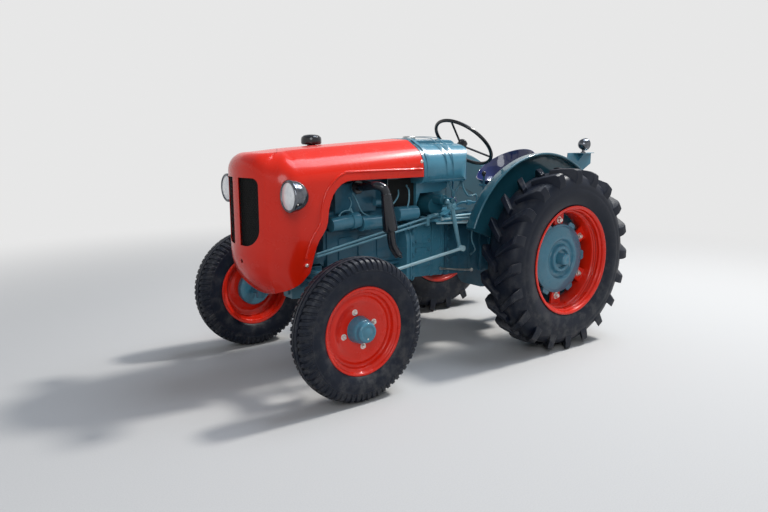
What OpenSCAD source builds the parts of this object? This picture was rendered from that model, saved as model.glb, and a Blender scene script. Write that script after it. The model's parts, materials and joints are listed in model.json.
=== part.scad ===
/* [Chassis] */
// Distance between the front and rear axle lines
wheelbase = 1486; // [1300:5:1700]
// Distance between the middles of the left and right tyres
track = 1172; // [1120:2:1300]
// Height of the front axle beam's middle above the floor
beam_z = 562; // [555:1:575]
// Height of the gearbox casting's underside above the floor
casting_bottom_z = 300; // [270:2:330]

/* [Wheels] */
// Radius of a front tyre
front_r = 362; // [340:1:380]
// Width of a front tyre
front_w = 150; // [130:1:170]
// Radius of a rear tyre, out to the tips of its lugs
rear_r = 550; // [520:1:580]
// Width of a rear tyre
rear_w = 256; // [230:1:270]
// Height of a rear lug above the tyre's carcass
lug_h = 26; // [16:1:34]
// Outer radius of a front rim's flange
front_rim_r = 222; // [214:1:232]
// Outer radius of a rear rim's flange
rear_rim_r = 331; // [320:1:342]

/* [Bonnet] */
// Distance of the bonnet's rear edge ahead of the rear axle
bonnet_rear_x = 822; // [800:1:850]
// Distance of the nose ahead of the front axle
nose_overhang = 350; // [314:1:354]
// Half of the bonnet's width
bonnet_half_w = 286; // [270:1:300]
// Height of the bonnet's top at its rear edge
bonnet_top_z = 1274; // [1240:1:1300]
// Drop of the bonnet's top for each millimetre forward
top_slope = 0.06; // [0.03:0.005:0.08]
// Thickness of the bonnet's sheet with its turned edges
sheet_t = 6; // [4:0.5:8]
// Radius of the bonnet's upper corners
shoulder_r = 150; // [110:5:170]
// Height of the side opening's upper edge
side_open_z = 1064; // [1040:1:1080]

/* [Operator] */
// Radius of the steering wheel's rim, at the middle of the grip
steering_r = 203; // [180:1:215]
// Thickness of the steering wheel's grip
grip_d = 22; // [18:1:28]
// Tilt of the steering wheel's axis from the vertical
column_tilt = 42.4; // [35:0.2:50]
// Half of the seat pan's width
seat_half_w = 220; // [190:5:240]

/* [Fits] */
// Radial clearance of a pin or shaft that turns in a bore
pin_gap = 0.06; // [0.03:0.01:0.1]
// Gap between a piece and its seat where the two aren't joined
seat_gap = 0.3; // [0.2:0.05:0.5]

/* [Hidden] */
$fn = 48;

red = [0.78, 0.08, 0.03];
blue = [0.16, 0.42, 0.52];
black = [0.06, 0.06, 0.07];
rubber = [0.13, 0.15, 0.18];
steel = [0.62, 0.62, 0.6];
through = 1;

half_track = track / 2;
nose_x = wheelbase + nose_overhang;
drawbar_end_x = -606;
front_reach = max(wheelbase + front_r, nose_x);
guard_r = 636;
x_mid = (front_reach - max(rear_r, -drawbar_end_x, guard_r + 2)) / 2;

// Front wheel, kingpin and steering arms
kingpin_y = half_track - 126;
kingpin_r = 16;
sleeve_r = 31;
sleeve_h = 112;
sleeve_bottom_z = beam_z - sleeve_h / 2;
sleeve_top_z = beam_z + sleeve_h / 2;
beam_h = 64;
beam_t = 60;
stub_r = 17.5;
arm_t = 16;
arm_z = sleeve_bottom_z - 36;
arm_len = 150;
joint_pin_r = 8;
eye_r = 17;
eye_h = 20;
eye_gap = 1;
tie_rod_z = arm_z - eye_gap - eye_h / 2;
tie_rod_r = 9;
drag_pin_z = arm_z + arm_t + eye_gap + eye_h / 2;
front_lip = 55;
hub_in = 48;
hub_cap_end = 108;

// Rear wheel
rear_lip = 115;
axle_stub_r = 30;
trumpet_end_y = half_track - 118;
trumpet_r = 86;

// Castings of the chassis, from the front: bolster, engine, clutch housing, gearbox, rear axle
engine_front_x = wheelbase - 94;
engine_rear_x = 880;
clutch_rear_x = 560;
gearbox_rear_x = 150;
axle_rear_x = -190;
engine_half_w = 130;
engine_left_y = 150;
casing_top_z = 800;
gearbox_top_z = 760;
axle_top_z = 790;
gearbox_half_w = 160;
bolster_z = 610;
bolster_top_z = 660;

// Steering wheel, column, box and drop arm
wheel_hub = [253, 0, 1248];
box_x = 610;
box_z = 878;
sector_x = 672;
sector_z = 926;
drop_y = 348;
drop_len = 292;
drop_angle = 15;
drop_eye = [sector_x - drop_len * sin(drop_angle), drop_y, sector_z - drop_len * cos(drop_angle)];
drop_eye_t = 16;
drag_eye_t = 24;
drag_gap = 1.5;
drag_front = [wheelbase, kingpin_y - arm_len, drag_pin_z];
drag_rear = drop_eye + [0, drop_eye_t / 2 + drag_gap + drag_eye_t / 2, 0];

module place() translate([-x_mid, 0, 0]) children();

// A profile of [radius, distance outward from the tyre's middle] turned about a wheel's axle
module wheel_turn(x, z, side, y = half_track)
    translate([x, side * y, z]) rotate([-90 * side, 0, 0]) rotate_extrude($fn = 96) children();

// A rod with flat ends from point a to point b
module rod(a, b, r, fn = 24) {
    v = b - a;
    len = norm(v);
    translate(a) rotate([0, acos(v[2] / len), atan2(v[1], v[0])]) cylinder(h = len, r = r, $fn = fn);
}

module box(x0, x1, y0, y1, z0, z1)
    translate([x0, y0, z0]) cube([x1 - x0, y1 - y0, z1 - z0]);

// Half outline of a tyre from its widest point to its crown, by a rounded power curve
function tyre_half(r_wide, r_out, half_w, n = 9) =
    [for (i = [0:n]) let (a = 90 * i / n, e = 0.62)
        [r_wide + (r_out - r_wide) * pow(sin(a), e), half_w * pow(cos(a), e)]];

// Tyre section: beads between the rim's flanges, bulged sides and a rounded crown
module tyre_profile(r_in, lip_r, r_out, w, bead) {
    outer = tyre_half(lip_r + 0.3 * (r_out - lip_r), r_out, w / 2);
    n = len(outer);
    polygon(concat([[lip_r + 1, -bead - 3], [r_in, -bead], [r_in, bead], [lip_r + 1, bead + 3]], outer,
        [for (i = [n - 2:-1:0]) [outer[i][0], -outer[i][1]]]));
}

// Front tyre: the crown has two grooves round it
groove_y = 23;
groove_w = 9;
groove_h = 9;
module front_tyre(side) color(rubber) place() wheel_turn(wheelbase, front_r, side) difference() {
    tyre_profile(front_rim_r - 14, front_rim_r, front_r, front_w, front_lip - 10);
    for (s = [-1, 1]) translate([front_r - groove_h, s * groove_y - groove_w / 2]) square([20, groove_w]);
}

// Rear lugs: 20 to a side, slanted, each half of the tread half a pitch behind the other
lug_count = 20;
lug_lead = 11.2;
lug_phase = 2.2;
carcass_r = rear_r - lug_h;
// Stations of a lug, from the middle outwards: share of the half width, then radius and half width
// at its tip, then share, radius and half width at its foot
lug_rows = [[-0.03, rear_r - 1, 15, -0.03, carcass_r - 14, 21], [0.4, rear_r, 17, 0.4, carcass_r - 16, 24],
    [0.8, rear_r, 19, 0.76, carcass_r - 40, 27], [0.97, rear_r - 62, 21, 0.9, carcass_r - 84, 28]];
module lug(half_w) {
    n = len(lug_rows);
    points = [for (row = lug_rows) for (c = [[3, -1], [3, 1], [0, 1], [0, -1]]) let (
            y = row[c[0]] * half_w, r = row[c[0] + 1],
            a = lug_lead * (1 - row[c[0]]) + c[1] * row[c[0] + 2] / r * 180 / PI)
        [r * cos(a), r * sin(a), y]];
    sides = [for (i = [0:n - 2]) for (k = [0:3]) let (p = 4 * i + k, q = 4 * i + (k + 1) % 4)
        for (t = [[p, q, q + 4], [p, q + 4, p + 4]]) t];
    polyhedron(points = points, faces = concat([[2, 1, 0], [3, 2, 0]], sides,
        [[4 * n - 4, 4 * n - 3, 4 * n - 2], [4 * n - 4, 4 * n - 2, 4 * n - 1]]));
}

module rear_tyre(side) color(rubber) place() mirror([0, side > 0 ? 0 : 1, 0]) {
    wheel_turn(0, rear_r, 1) tyre_profile(rear_rim_r - 18, rear_rim_r, carcass_r, rear_w, rear_lip - 13);
    translate([0, half_track, rear_r]) rotate([-90, 0, 0]) for (k = [0:lug_count - 1]) {
        rotate([0, 0, 180 - lug_phase + k * 360 / lug_count]) lug(rear_w / 2);
        mirror([0, 0, 1]) rotate([0, 0, 180 - lug_phase + (k + 0.5) * 360 / lug_count]) lug(rear_w / 2);
    }
}

// Pressed front wheel: rim with its lips and a dished disc, one sheet thick
front_seat_r = front_rim_r - 14 - 0.3;
module front_wheel(side) color(red) place() difference() {
    wheel_turn(wheelbase, front_r, side) polygon([
        [front_rim_r, -front_lip], [front_rim_r, -front_lip + 5], [front_seat_r, -front_lip + 9],
        [front_seat_r, -32], [188, -24], [188, 22], [front_seat_r, 32], [front_seat_r, front_lip - 9],
        [front_rim_r, front_lip - 5], [front_rim_r, front_lip], [front_rim_r - 9, front_lip],
        [front_seat_r - 6, front_lip - 6], [front_seat_r - 7, 36], [182, 26], [182, 8], [150, 14],
        [120, 26], [62, 26], [62, 18], [116, 18], [146, 6], [182, 0], [182, -28],
        [front_seat_r - 7, -36], [front_seat_r - 6, -front_lip + 6], [front_rim_r - 9, -front_lip]]);
    for (k = [0:3]) translate([wheelbase, side * half_track, front_r])
        rotate([0, 15 + 90 * k, 0]) translate([92, 0, 0]) rotate([90, 0, 0])
            cylinder(h = 100, r = 9, center = true);
}

// Front hub: brake-drum shaped back, flange behind the disc and a stepped cap in front
module front_hub(side) color(blue) place() wheel_turn(wheelbase, front_r, side)
    polygon([
        [stub_r + pin_gap, -hub_in], [100, -hub_in], [102, -hub_in + 4], [102, -8], [98, 2], [100, 17],
        [61, 17.7], [61, 40], [57, 46], [48, 50], [46, 78], [40, 82], [37, hub_cap_end - 4],
        [30, hub_cap_end], [0, hub_cap_end], [0, 60], [stub_r + pin_gap, 60]]);

// Left or right steering knuckle: kingpin, stub axle and its arms
module knuckle(side) color(blue) place() translate([wheelbase, side * kingpin_y, 0]) {
    translate([0, 0, front_r - 40]) cylinder(h = sleeve_bottom_z - seat_gap - front_r + 40, r = 30);
    translate([0, 0, front_r]) cylinder(h = sleeve_top_z + 16 - front_r, r = kingpin_r);
    translate([0, 0, sleeve_top_z + seat_gap]) cylinder(h = 14, r = 26);
    translate([0, 0, front_r]) rotate([-90 * side, 0, 0]) {
        cylinder(h = half_track - kingpin_y + 55, r = stub_r);
        cylinder(h = half_track - kingpin_y - hub_in - 1, r = 29);
    }
    knuckle_arm([-arm_len, 0]);
    translate([-arm_len, 0, tie_rod_z - eye_h / 2 - 3])
        cylinder(h = arm_z - tie_rod_z + eye_h / 2 + 3 + through, r = joint_pin_r);
    if (side > 0) {
        knuckle_arm([0, -arm_len]);
        translate([0, -arm_len, arm_z + arm_t - through])
            cylinder(h = eye_gap + eye_h / 2 + through, r = joint_pin_r);
    }
}

// A flat arm from the kingpin to its eye
module knuckle_arm(end) translate([0, 0, arm_z]) {
    cylinder(h = arm_t, r = 34);
    translate([end[0], end[1], 0]) cylinder(h = arm_t, r = eye_r);
    rotate([0, 0, atan2(end[1], end[0])]) translate([0, -13, 0]) cube([norm(end), 26, arm_t]);
}

module tie_rod() color(blue) place() {
    ends = [for (s = [-1, 1]) [wheelbase - arm_len, s * kingpin_y, tie_rod_z]];
    difference() {
        union() {
            rod(ends[0], ends[1], tie_rod_r);
            for (p = ends) translate(p) cylinder(h = eye_h, r = eye_r, center = true);
        }
        for (p = ends) translate(p)
            cylinder(h = eye_h + 2 * through, r = joint_pin_r + pin_gap, center = true);
    }
}

module drag_link() color(steel) place() difference() {
    union() {
        rod(drag_front, drag_rear, 9);
        translate(drag_front) cylinder(h = eye_h, r = eye_r, center = true);
        translate(drag_rear) rotate([90, 0, 0]) cylinder(h = drag_eye_t, r = eye_r, center = true);
    }
    translate(drag_front) cylinder(h = eye_h + 2 * through, r = joint_pin_r + pin_gap, center = true);
}

// Drop arm: boss on the sector shaft, arm and eye
module drop_arm() color(steel) place() {
    difference() {
        union() {
            translate([sector_x, drop_y, sector_z]) rotate([90, 0, 0])
                cylinder(h = 30, r = 26, center = true);
            translate(drop_eye) rotate([90, 0, 0]) cylinder(h = drop_eye_t, r = 19, center = true);
            translate([sector_x, drop_y + 7, sector_z]) rotate([90, drop_angle, 0]) linear_extrude(14)
                polygon([[-23, 0], [-11, -drop_len], [11, -drop_len], [23, 0]]);
        }
        translate([sector_x, drop_y, sector_z]) rotate([90, 0, 0])
            cylinder(h = 32, r = 15 + pin_gap, center = true);
    }
}

// Steering box on the clutch housing's top, its column and the sector shaft to the left
module steering_box() color(blue) place() {
    axis = [sin(column_tilt), 0, -cos(column_tilt)];
    foot = wheel_hub + 430 * axis;
    difference() {
        union() {
            box(box_x - 60, box_x + 100, -60, 70, casing_top_z + seat_gap, 940);
            rod(wheel_hub + 52 * axis, foot, 21, 32);
            translate([sector_x, 60, sector_z]) rotate([-90, 0, 0]) cylinder(h = 232, r = 30);
            translate([sector_x, 60, sector_z - 40]) rotate([-90, 0, 0])
                cylinder(h = 158, r1 = 64, r2 = 56);
        }
        rod(wheel_hub + 40 * axis, wheel_hub + 140 * axis, 11 + pin_gap, 32);
    }
    translate([sector_x, 250, sector_z]) rotate([-90, 0, 0]) cylinder(h = drop_y + 20 - 250, r = 15);
}

module steering_wheel() color(black) place() translate(wheel_hub) rotate([0, -column_tilt, 0]) {
    rotate_extrude($fn = 96) translate([steering_r, 0]) circle(d = grip_d, $fn = 32);
    for (a = [12, 132, 252]) rotate([0, 0, a]) rod([24, 0, -22], [steering_r, 0, 0], 6.5, 20);
    translate([0, 0, -38]) cylinder(h = 40, r = 30);
    translate([0, 0, 2]) cylinder(h = 10, r1 = 30, r2 = 20);
    translate([0, 0, -128]) cylinder(h = 100, r = 11);
}

// Extrusions of an outline of (y, z) along x, and of (x, z) along y
module along_x(x0, x1) translate([x0, 0, 0]) rotate([90, 0, 90]) linear_extrude(x1 - x0) children();
module along_y(y0, y1) translate([0, y1, 0]) rotate([90, 0, 0]) linear_extrude(y1 - y0) children();

// Outline of a rectangle with rounded corners, n steps to a corner
function rounded(x0, x1, y0, y1, r, n = 4) =
    [for (c = [[x1 - r, y1 - r, 0], [x0 + r, y1 - r, 90], [x0 + r, y0 + r, 180], [x1 - r, y0 + r, 270]])
        for (i = [0:n]) [c[0] + r * cos(c[2] + 90 * i / n), c[1] + r * sin(c[2] + 90 * i / n)]];

// Bonnet: one smooth form pulled over a rear section, a middle one, the nose's round corners and its front
nose_r = 380;
nose_edge_y = 205;
corner_r = 175;
corner_x = nose_x - 215;
corner_y = bonnet_half_w - corner_r;
corner_z0 = 700;
brow_r = 93;
brow_z = 1120;
chin_z = 465;
mid_x = nose_x - 330;
function bonnet_drop(x) = top_slope * (x - bonnet_rear_x);

module bonnet_section(inset) {
    w = bonnet_half_w - inset;
    r = shoulder_r - inset;
    top = bonnet_top_z - inset;
    translate([-w, 0]) square([2 * w, top - r - 26]);
    intersection() {
        union() {
            for (s = [-1, 1]) translate([s * (w - r), top - r - 26]) circle(r = r, $fn = 48);
            translate([-(w - r), top - 2 * r]) square([2 * (w - r), 2 * r]);
        }
        translate([0, top - 1500]) circle(r = 1500, $fn = 120);
    }
}

module bonnet_slab(x, inset, bottom, drop) along_x(x, x + 1) translate([0, -drop]) intersection() {
    bonnet_section(inset);
    translate([-400, bottom + drop]) square([800, 1400]);
}

// Front of the nose turned about an upright axis, from the chin's curve up to the brow
module nose_front(inset) intersection() {
    translate([nose_x - nose_r, 0, 0]) rotate_extrude($fn = 80) polygon(concat(
        [[0, chin_z], [nose_r - 271 + (271 - inset) * cos(60), chin_z]],
        [for (a = [-48:12:0]) [nose_r - 271 + (271 - inset) * cos(a), corner_z0 + (271 - inset) * sin(a)]],
        [[nose_r - inset, 990]],
        [for (a = [0:18:90]) [nose_r - 4 - brow_r + (brow_r - inset) * cos(a),
            brow_z - bonnet_drop(nose_x) + 61 + (brow_r - inset) * sin(a)]],
        [[0, brow_z - bonnet_drop(nose_x) + 61 + brow_r - inset]]));
    translate([nose_x - nose_r + 100, -nose_edge_y + inset, 0]) cube([400, 2 * (nose_edge_y - inset), 1400]);
}

module bonnet_form(inset) hull() {
    bonnet_slab(bonnet_rear_x, inset, 1000, 0);
    bonnet_slab(mid_x, inset, 600, bonnet_drop(mid_x));
    for (s = [-1, 1]) for (z = [corner_z0, bonnet_top_z - bonnet_drop(corner_x) - 4 - corner_r])
        translate([corner_x, s * corner_y, z]) sphere(r = corner_r - inset, $fn = 40);
    nose_front(inset);
}

// Opening of each side: level along the top, round at the front corner, then stepping down to the chin
module side_opening() along_y(-400, 400) polygon(concat(
    [[bonnet_rear_x - 10, 300], [bonnet_rear_x - 10, side_open_z]],
    [for (p = [[-526, 0], [-496, -3], [-460, -17], [-430, -42], [-408, -70], [-393, -104], [-382, -142],
        [-376, -180], [-373, -208], [-363, -238], [-343, -268], [-320, -298], [-303, -330], [-291, -364],
        [-281, -398], [-274, -422], [-262, -458]]) [nose_x + p[0], side_open_z + p[1]]],
    [[nose_x - 114, chin_z + 3], [nose_x - 114, 300]]));

// One half of the grille opening in (y, z): its outer corners are round, wide below and narrow above
grille_z0 = 742;
grille_z1 = 1088;
grille_y0 = 21;
grille_y1 = 170;
module grille_outline(s, grow = 0) mirror([s > 0 ? 0 : 1, 0]) polygon(concat(
    [[grille_y0 - grow, grille_z0 - grow]],
    [for (i = [0:6]) let (r = 95, a = 15 * i - 90)
        [grille_y1 - r + (r + grow) * cos(a), grille_z0 + r + (r + grow) * sin(a)]],
    [for (i = [0:4]) let (r = 36, a = 22.5 * i)
        [grille_y1 - r + (r + grow) * cos(a), grille_z1 - r + (r + grow) * sin(a)]],
    [[grille_y0 - grow, grille_z1 + grow]]));

module bonnet() color(red) place() difference() {
    bonnet_form(0);
    difference() {
        bonnet_form(sheet_t);
        box(bonnet_rear_x - 1, bonnet_rear_x + sheet_t, -400, 400, 0, 1400);
    }
    along_x(bonnet_rear_x - 1, bonnet_rear_x + sheet_t + 1) intersection() {
        bonnet_section(sheet_t + 14);
        translate([-400, 900]) square([800, 500]);
    }
    side_opening();
    for (s = [-1, 1]) along_x(nose_x - 140, nose_x + 60) grille_outline(s);
    translate([air_pos[0], air_pos[1], 1100]) cylinder(h = 200, r = air_pipe_r + 5);
}

// Grille: a plate curved to the nose with rows of diamonds cut through it behind each opening
diamond_pitch = 46;
diamond_r = 19;
grille_t = 4;
grille_rim = 3;
// Whether a point (y, z) lies inside an opening, clear of its rim and of its round outer corners
function in_grille(y, z) = y > grille_y0 + grille_rim && y < grille_y1 - grille_rim
    && z > grille_z0 + grille_rim && z < grille_z1 - grille_rim
    && (y < grille_y1 - 95 || z > grille_z0 + 95
        || norm([y - grille_y1 + 95, z - grille_z0 - 95]) < 95 - grille_rim)
    && (y < grille_y1 - 36 || z < grille_z1 - 36
        || norm([y - grille_y1 + 36, z - grille_z1 + 36]) < 36 - grille_rim);
module grille() color(black) place() difference() {
    intersection() {
        translate([nose_x - nose_r, 0, 0]) difference() {
            cylinder(h = 1400, r = nose_r - sheet_t - 4, $fn = 96);
            cylinder(h = 1400, r = nose_r - sheet_t - 4 - grille_t, $fn = 96);
        }
        box(nose_x - 120, nose_x, -grille_y1 - 12, grille_y1 + 12, grille_z0 - 16, grille_z1 + 8);
    }
    for (s = [-1, 1]) for (row = [0:18]) for (i = [0:4]) let (
            y = grille_y0 + 24 + (i + (row % 2) / 2) * diamond_pitch,
            z = grille_z0 + 24 + row * diamond_pitch / 2)
        if (in_grille(y - diamond_r, z) && in_grille(y + diamond_r, z) && in_grille(y, z - diamond_r)
                && in_grille(y, z + diamond_r))
            along_x(nose_x - 130, nose_x + 10) polygon([[s * y - diamond_r, z], [s * y, z - diamond_r],
                [s * y + diamond_r, z], [s * y, z + diamond_r]]);
}

// Headlamps: turned bowls with a domed glass, each on a short arm from the bonnet's side
lamp_y = bonnet_half_w + 66;
lamp_z = 1008;
lamp_x = nose_x - 112;
lamp_seat_y = bonnet_half_w - 1.1;
lamp_r = 80;
module headlamps() color(black) place() for (s = [-1, 1]) {
    translate([lamp_x, s * lamp_y, lamp_z]) rotate([0, -90, 0]) rotate_extrude($fn = 64) polygon(concat(
        [[0, -16], [40, -12], [lamp_r - 10, -2], [lamp_r - 8, -6], [lamp_r, -4], [lamp_r, 14]],
        [for (a = [0:15:90]) [(lamp_r - 4) * cos(a), 18 + 84 * sin(a)]]));
    along_x(lamp_x - 92, lamp_x - 62) polygon(rounded(min(s * lamp_seat_y, s * (lamp_y - 40)),
        max(s * lamp_seat_y, s * (lamp_y - 40)), lamp_z - 14, lamp_z + 14, 6));
}

// Tank: carries the bonnet's section on to a rounded rear end
tank_rear_x = 430;
tank_corner_r = 110;
tank_half_w = bonnet_half_w - 2;
tank_bottom_z = 1024;
tank_front_x = bonnet_rear_x - seat_gap;
cap_x = 700;
module fuel_tank() color(blue) place() difference() {
    intersection() {
        along_x(tank_rear_x, tank_front_x) intersection() {
            bonnet_section(2);
            polygon(rounded(-tank_half_w, tank_half_w, tank_bottom_z, 1400, 45));
        }
        translate([0, 0, 900]) linear_extrude(500) polygon(concat([[tank_front_x, -300], [tank_front_x, 300]],
            [for (s = [1, -1]) for (i = [0:6]) let (a = (s > 0 ? 90 : 180) + 15 * i)
                [tank_rear_x + tank_corner_r * (1 + cos(a)),
                    s * (tank_half_w - tank_corner_r) + tank_corner_r * sin(a)]]));
        along_y(-300, 300) polygon(concat(
            [[tank_front_x, 900], [tank_front_x, 1400], [tank_rear_x + 90, 1400]],
            [for (i = [0:5]) let (a = 90 + 18 * i)
                [tank_rear_x + 90 + 90 * cos(a), bonnet_top_z - 92 + 90 * sin(a)]], [[tank_rear_x, 900]]));
    }
    translate([cap_x, 0, bonnet_top_z - 12]) cylinder(h = 40, r = 30);
    column_tunnel(30);
}

// Channel under the tank for the steering column
module column_tunnel(r) {
    lift = r / sin(column_tilt);
    along_y(-r, r) polygon([
        [wheel_hub[0], wheel_hub[2] + lift], [wheel_hub[0], wheel_hub[2] - 400],
        [wheel_hub[0] + 400 * sin(column_tilt), wheel_hub[2] + lift - 400 * cos(column_tilt)]]);
}

module filler_cap() color(steel) place() translate([cap_x, 0, bonnet_top_z - 12 + seat_gap])
    rotate_extrude($fn = 48)
        polygon([[0, 0], [29, 0], [29, 10], [37, 10], [38, 13], [38, 22], [35, 26], [0, 28]]);

// Dash: a wall across the casing with a cheek under each side of the tank
module dash_panel() color(blue) place() {
    along_x(796, 800) polygon(rounded(-190, 190, casing_top_z + seat_gap, tank_bottom_z - seat_gap, 12));
    for (s = [-1, 1]) along_y(s > 0 ? 186 : -190, s > 0 ? 190 : -186)
        polygon([[797, tank_bottom_z - seat_gap],
        [797, 900], [770, 962], [620, 966], [560, 990], [560, tank_bottom_z - seat_gap]]);
    box(560, 797, -190, 190, tank_bottom_z - 4 - seat_gap, tank_bottom_z - seat_gap);
}

// Engine: sump, crankcase, block and head with a rocker cover, pads on the sides and a timing cover in front
head_rear_x = engine_front_x - 332;
head_top_z = 1040;
exhaust_x = engine_front_x - 196;
module engine() color(blue) place() {
    along_x(engine_rear_x + 20, engine_front_x - 96) polygon(rounded(-108, 108, 430, 580, 44));
    along_x(engine_rear_x, engine_front_x) polygon(rounded(-138, 138, 552, 570, 6));
    along_x(engine_rear_x, engine_front_x - 20) polygon(rounded(-126, 126, 560, 800, 26));
    along_x(engine_rear_x + 30, engine_front_x - 30) polygon(rounded(-112, 132, 780, 890, 12));
    along_x(head_rear_x - 150, head_rear_x + 10) polygon(rounded(-112, 112, 860, 1000, 18));
    along_x(head_rear_x, engine_front_x - 62) polygon(rounded(-128, engine_left_y, 872, head_top_z, 10));
    along_x(head_rear_x - 130, engine_front_x - 76) polygon(rounded(-86, 86, 980, 1112, 34));
    for (i = [0:2]) translate([head_rear_x + 20 + i * 92, 0, 0])
        along_x(0, 12) polygon(rounded(-120, 139, 790, 884, 8));
    for (i = [0:2]) translate([engine_rear_x + 110 + i * 130, 0, 0])
        along_y(-134, 134) polygon(rounded(-50, 50, 600, 740, 20));
    along_x(engine_front_x - 30, engine_front_x) polygon(rounded(-112, 118, 590, 880, 52));
    translate([exhaust_x, engine_left_y - 4, 1018]) rotate([-90, 0, 0]) cylinder(h = 4 + 14, r = 40);
}

// Clutch housing: round flanges at both ends, a body between with a cover panel and ribs
bell_x = engine_rear_x - 60;
module clutch_housing() color(blue) place() {
    along_x(clutch_rear_x, bell_x + 2) polygon(rounded(-150, 170, 430, casing_top_z, 60));
    along_x(bell_x, engine_rear_x) polygon(rounded(-186, 206, 392, casing_top_z - 18, 96));
    along_x(bell_x + 26, bell_x + 36) polygon(rounded(-196, 216, 382, casing_top_z - 8, 100));
    along_y(169, 177) polygon(rounded(bell_x - 148, bell_x - 12, 661, 779, 16));
    along_y(169, 175) polygon(rounded(bell_x - 148, bell_x - 12, 520, 636, 30));
    for (x = [clutch_rear_x + 18, bell_x - 168]) along_x(x, x + 14)
        polygon(rounded(-156, 178, 440, casing_top_z, 30));
    box(bell_x - 14, bell_x + 10, 96, 168, 700, casing_top_z);
}

// Gearbox: deep body with a flange to the clutch housing, ribs and a cover that carries the gear lever
cover_top_z = gearbox_top_z + 16;
module gearbox() color(blue) place() {
    along_x(gearbox_rear_x, clutch_rear_x) polygon(rounded(-gearbox_half_w, gearbox_half_w,
        casting_bottom_z + 20, gearbox_top_z, 54));
    along_x(clutch_rear_x - 28, clutch_rear_x) polygon(rounded(-182, 182, casting_bottom_z, 790, 74));
    along_x(gearbox_rear_x, gearbox_rear_x + 24) polygon(rounded(-180, 180, casting_bottom_z, 780, 74));
    along_x(gearbox_rear_x + 60, clutch_rear_x - 70)
        polygon(rounded(-96, 96, gearbox_top_z - 30, cover_top_z, 12));
    for (i = [0:2]) let (x = gearbox_rear_x + 90 + i * 95) along_x(x, x + 14)
        polygon(rounded(-gearbox_half_w - 10, gearbox_half_w + 10, casting_bottom_z + 8, gearbox_top_z - 40,
            50));
    along_y(gearbox_half_w - 1, gearbox_half_w + 7)
        polygon(rounded(gearbox_rear_x + 200, gearbox_rear_x + 380,
        430, 560, 60));
}

// Rear axle: differential casing with bell-mouthed trumpets and a round end flange at each side
module rear_axle_housing() color(blue) place() {
    along_x(axle_rear_x + 16, gearbox_rear_x) polygon(rounded(-150, 150, casting_bottom_z, axle_top_z, 70));
    along_x(axle_rear_x, axle_rear_x + 20)
        polygon(rounded(-132, 132, casting_bottom_z + 24, axle_top_z - 30, 60));
    for (s = [-1, 1]) translate([0, 0, rear_r]) rotate([-90 * s, 0, 0]) difference() {
        rotate_extrude($fn = 64) polygon([[0, 0], [138, 0], [138, 176], [148, 176], [148, 198], [132, 198],
            [108, 236], [94, 290], [trumpet_r, 330], [trumpet_r, trumpet_end_y - 24],
            [112, trumpet_end_y - 20],
            [112, trumpet_end_y], [0, trumpet_end_y]]);
        translate([0, 0, trumpet_end_y - 110]) cylinder(h = 120, r = axle_stub_r + pin_gap);
    }
}

// Front bolster: a tapered beam from the engine to the nose, with ears round the axle's pivot
pivot_r = 18;
ear_gap = 4;
cross_bar_x = wheelbase + 74;
module front_bolster() color(blue) place() {
    along_y(-120, 120) polygon([[engine_front_x, 592], [engine_front_x, bolster_top_z + 8],
        [engine_front_x + 40, bolster_top_z], [nose_x - 140, bolster_top_z], [nose_x - 136, bolster_z + 22],
        [wheelbase + 110, bolster_z], [wheelbase - 70, bolster_z]]);
    for (x = [wheelbase - beam_t / 2 - 30 - ear_gap, wheelbase + beam_t / 2 + ear_gap])
        along_x(x, x + 30) polygon(concat([[-60, bolster_z + 1], [-60, bolster_z - 6]],
            [for (a = [200:20:340]) [38 * cos(a), beam_z + 2 + 38 * sin(a)]],
            [[60, bolster_z - 6], [60, bolster_z + 1]]));
    translate([wheelbase - beam_t / 2 - 30 - ear_gap, 0, beam_z]) rotate([0, 90, 0])
        cylinder(h = beam_t + 60 + 2 * ear_gap, r = pivot_r);
    for (s = [-1, 1]) along_y(s > 0 ? 100 : -cross_bar_y, s > 0 ? cross_bar_y : -100)
        polygon(rounded(cross_bar_x, cross_bar_x + 28, 634, 658, 5));
}
cross_bar_y = bonnet_half_w - 40;

module front_axle() color(blue) place() difference() {
    union() {
        box(wheelbase - beam_t / 2, wheelbase + beam_t / 2, -kingpin_y, kingpin_y,
            beam_z - beam_h / 2, beam_z + beam_h / 2);
        for (s = [-1, 1]) translate([wheelbase, s * kingpin_y, sleeve_bottom_z])
            cylinder(h = sleeve_h, r = sleeve_r);
    }
    for (s = [-1, 1]) translate([wheelbase, s * kingpin_y, sleeve_bottom_z - through])
        cylinder(h = sleeve_h + 2 * through, r = kingpin_r + pin_gap);
    translate([wheelbase, 0, beam_z]) rotate([0, 90, 0])
        cylinder(h = beam_t + 2 * through, r = pivot_r + pin_gap, center = true);
    for (x = [wheelbase - beam_t / 2 - 1, wheelbase + beam_t / 2 - 11]) for (s = [-1, 1])
        along_x(x, x + 12) polygon(rounded(s > 0 ? 70 : -kingpin_y + 50, s > 0 ? kingpin_y - 50 : -70,
            beam_z - 18, beam_z + 18, 8));
}

module radiator() color(blue) place() {
    x = wheelbase + 114;
    box(x + 12, x + 56, -186, 186, bolster_top_z + 60, 1080);
    along_x(x, x + 68) polygon(rounded(-200, 200, 1076, 1142, 24));
    along_x(x, x + 68) polygon(rounded(-196, 196, bolster_top_z + seat_gap, bolster_top_z + 64, 12));
    for (s = [-1, 1])
        box(x + 6, x + 62, min(s * 182, s * 198), max(s * 182, s * 198), bolster_top_z + 60, 1080);
}

// A turned piece from point a towards point b: its outline's rows are [radius, distance from a]
module turned(a, b, rows) {
    v = b - a;
    translate(a) rotate([0, acos(v[2] / norm(v)), atan2(v[1], v[0])]) rotate_extrude($fn = 48) polygon(rows);
}

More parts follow.
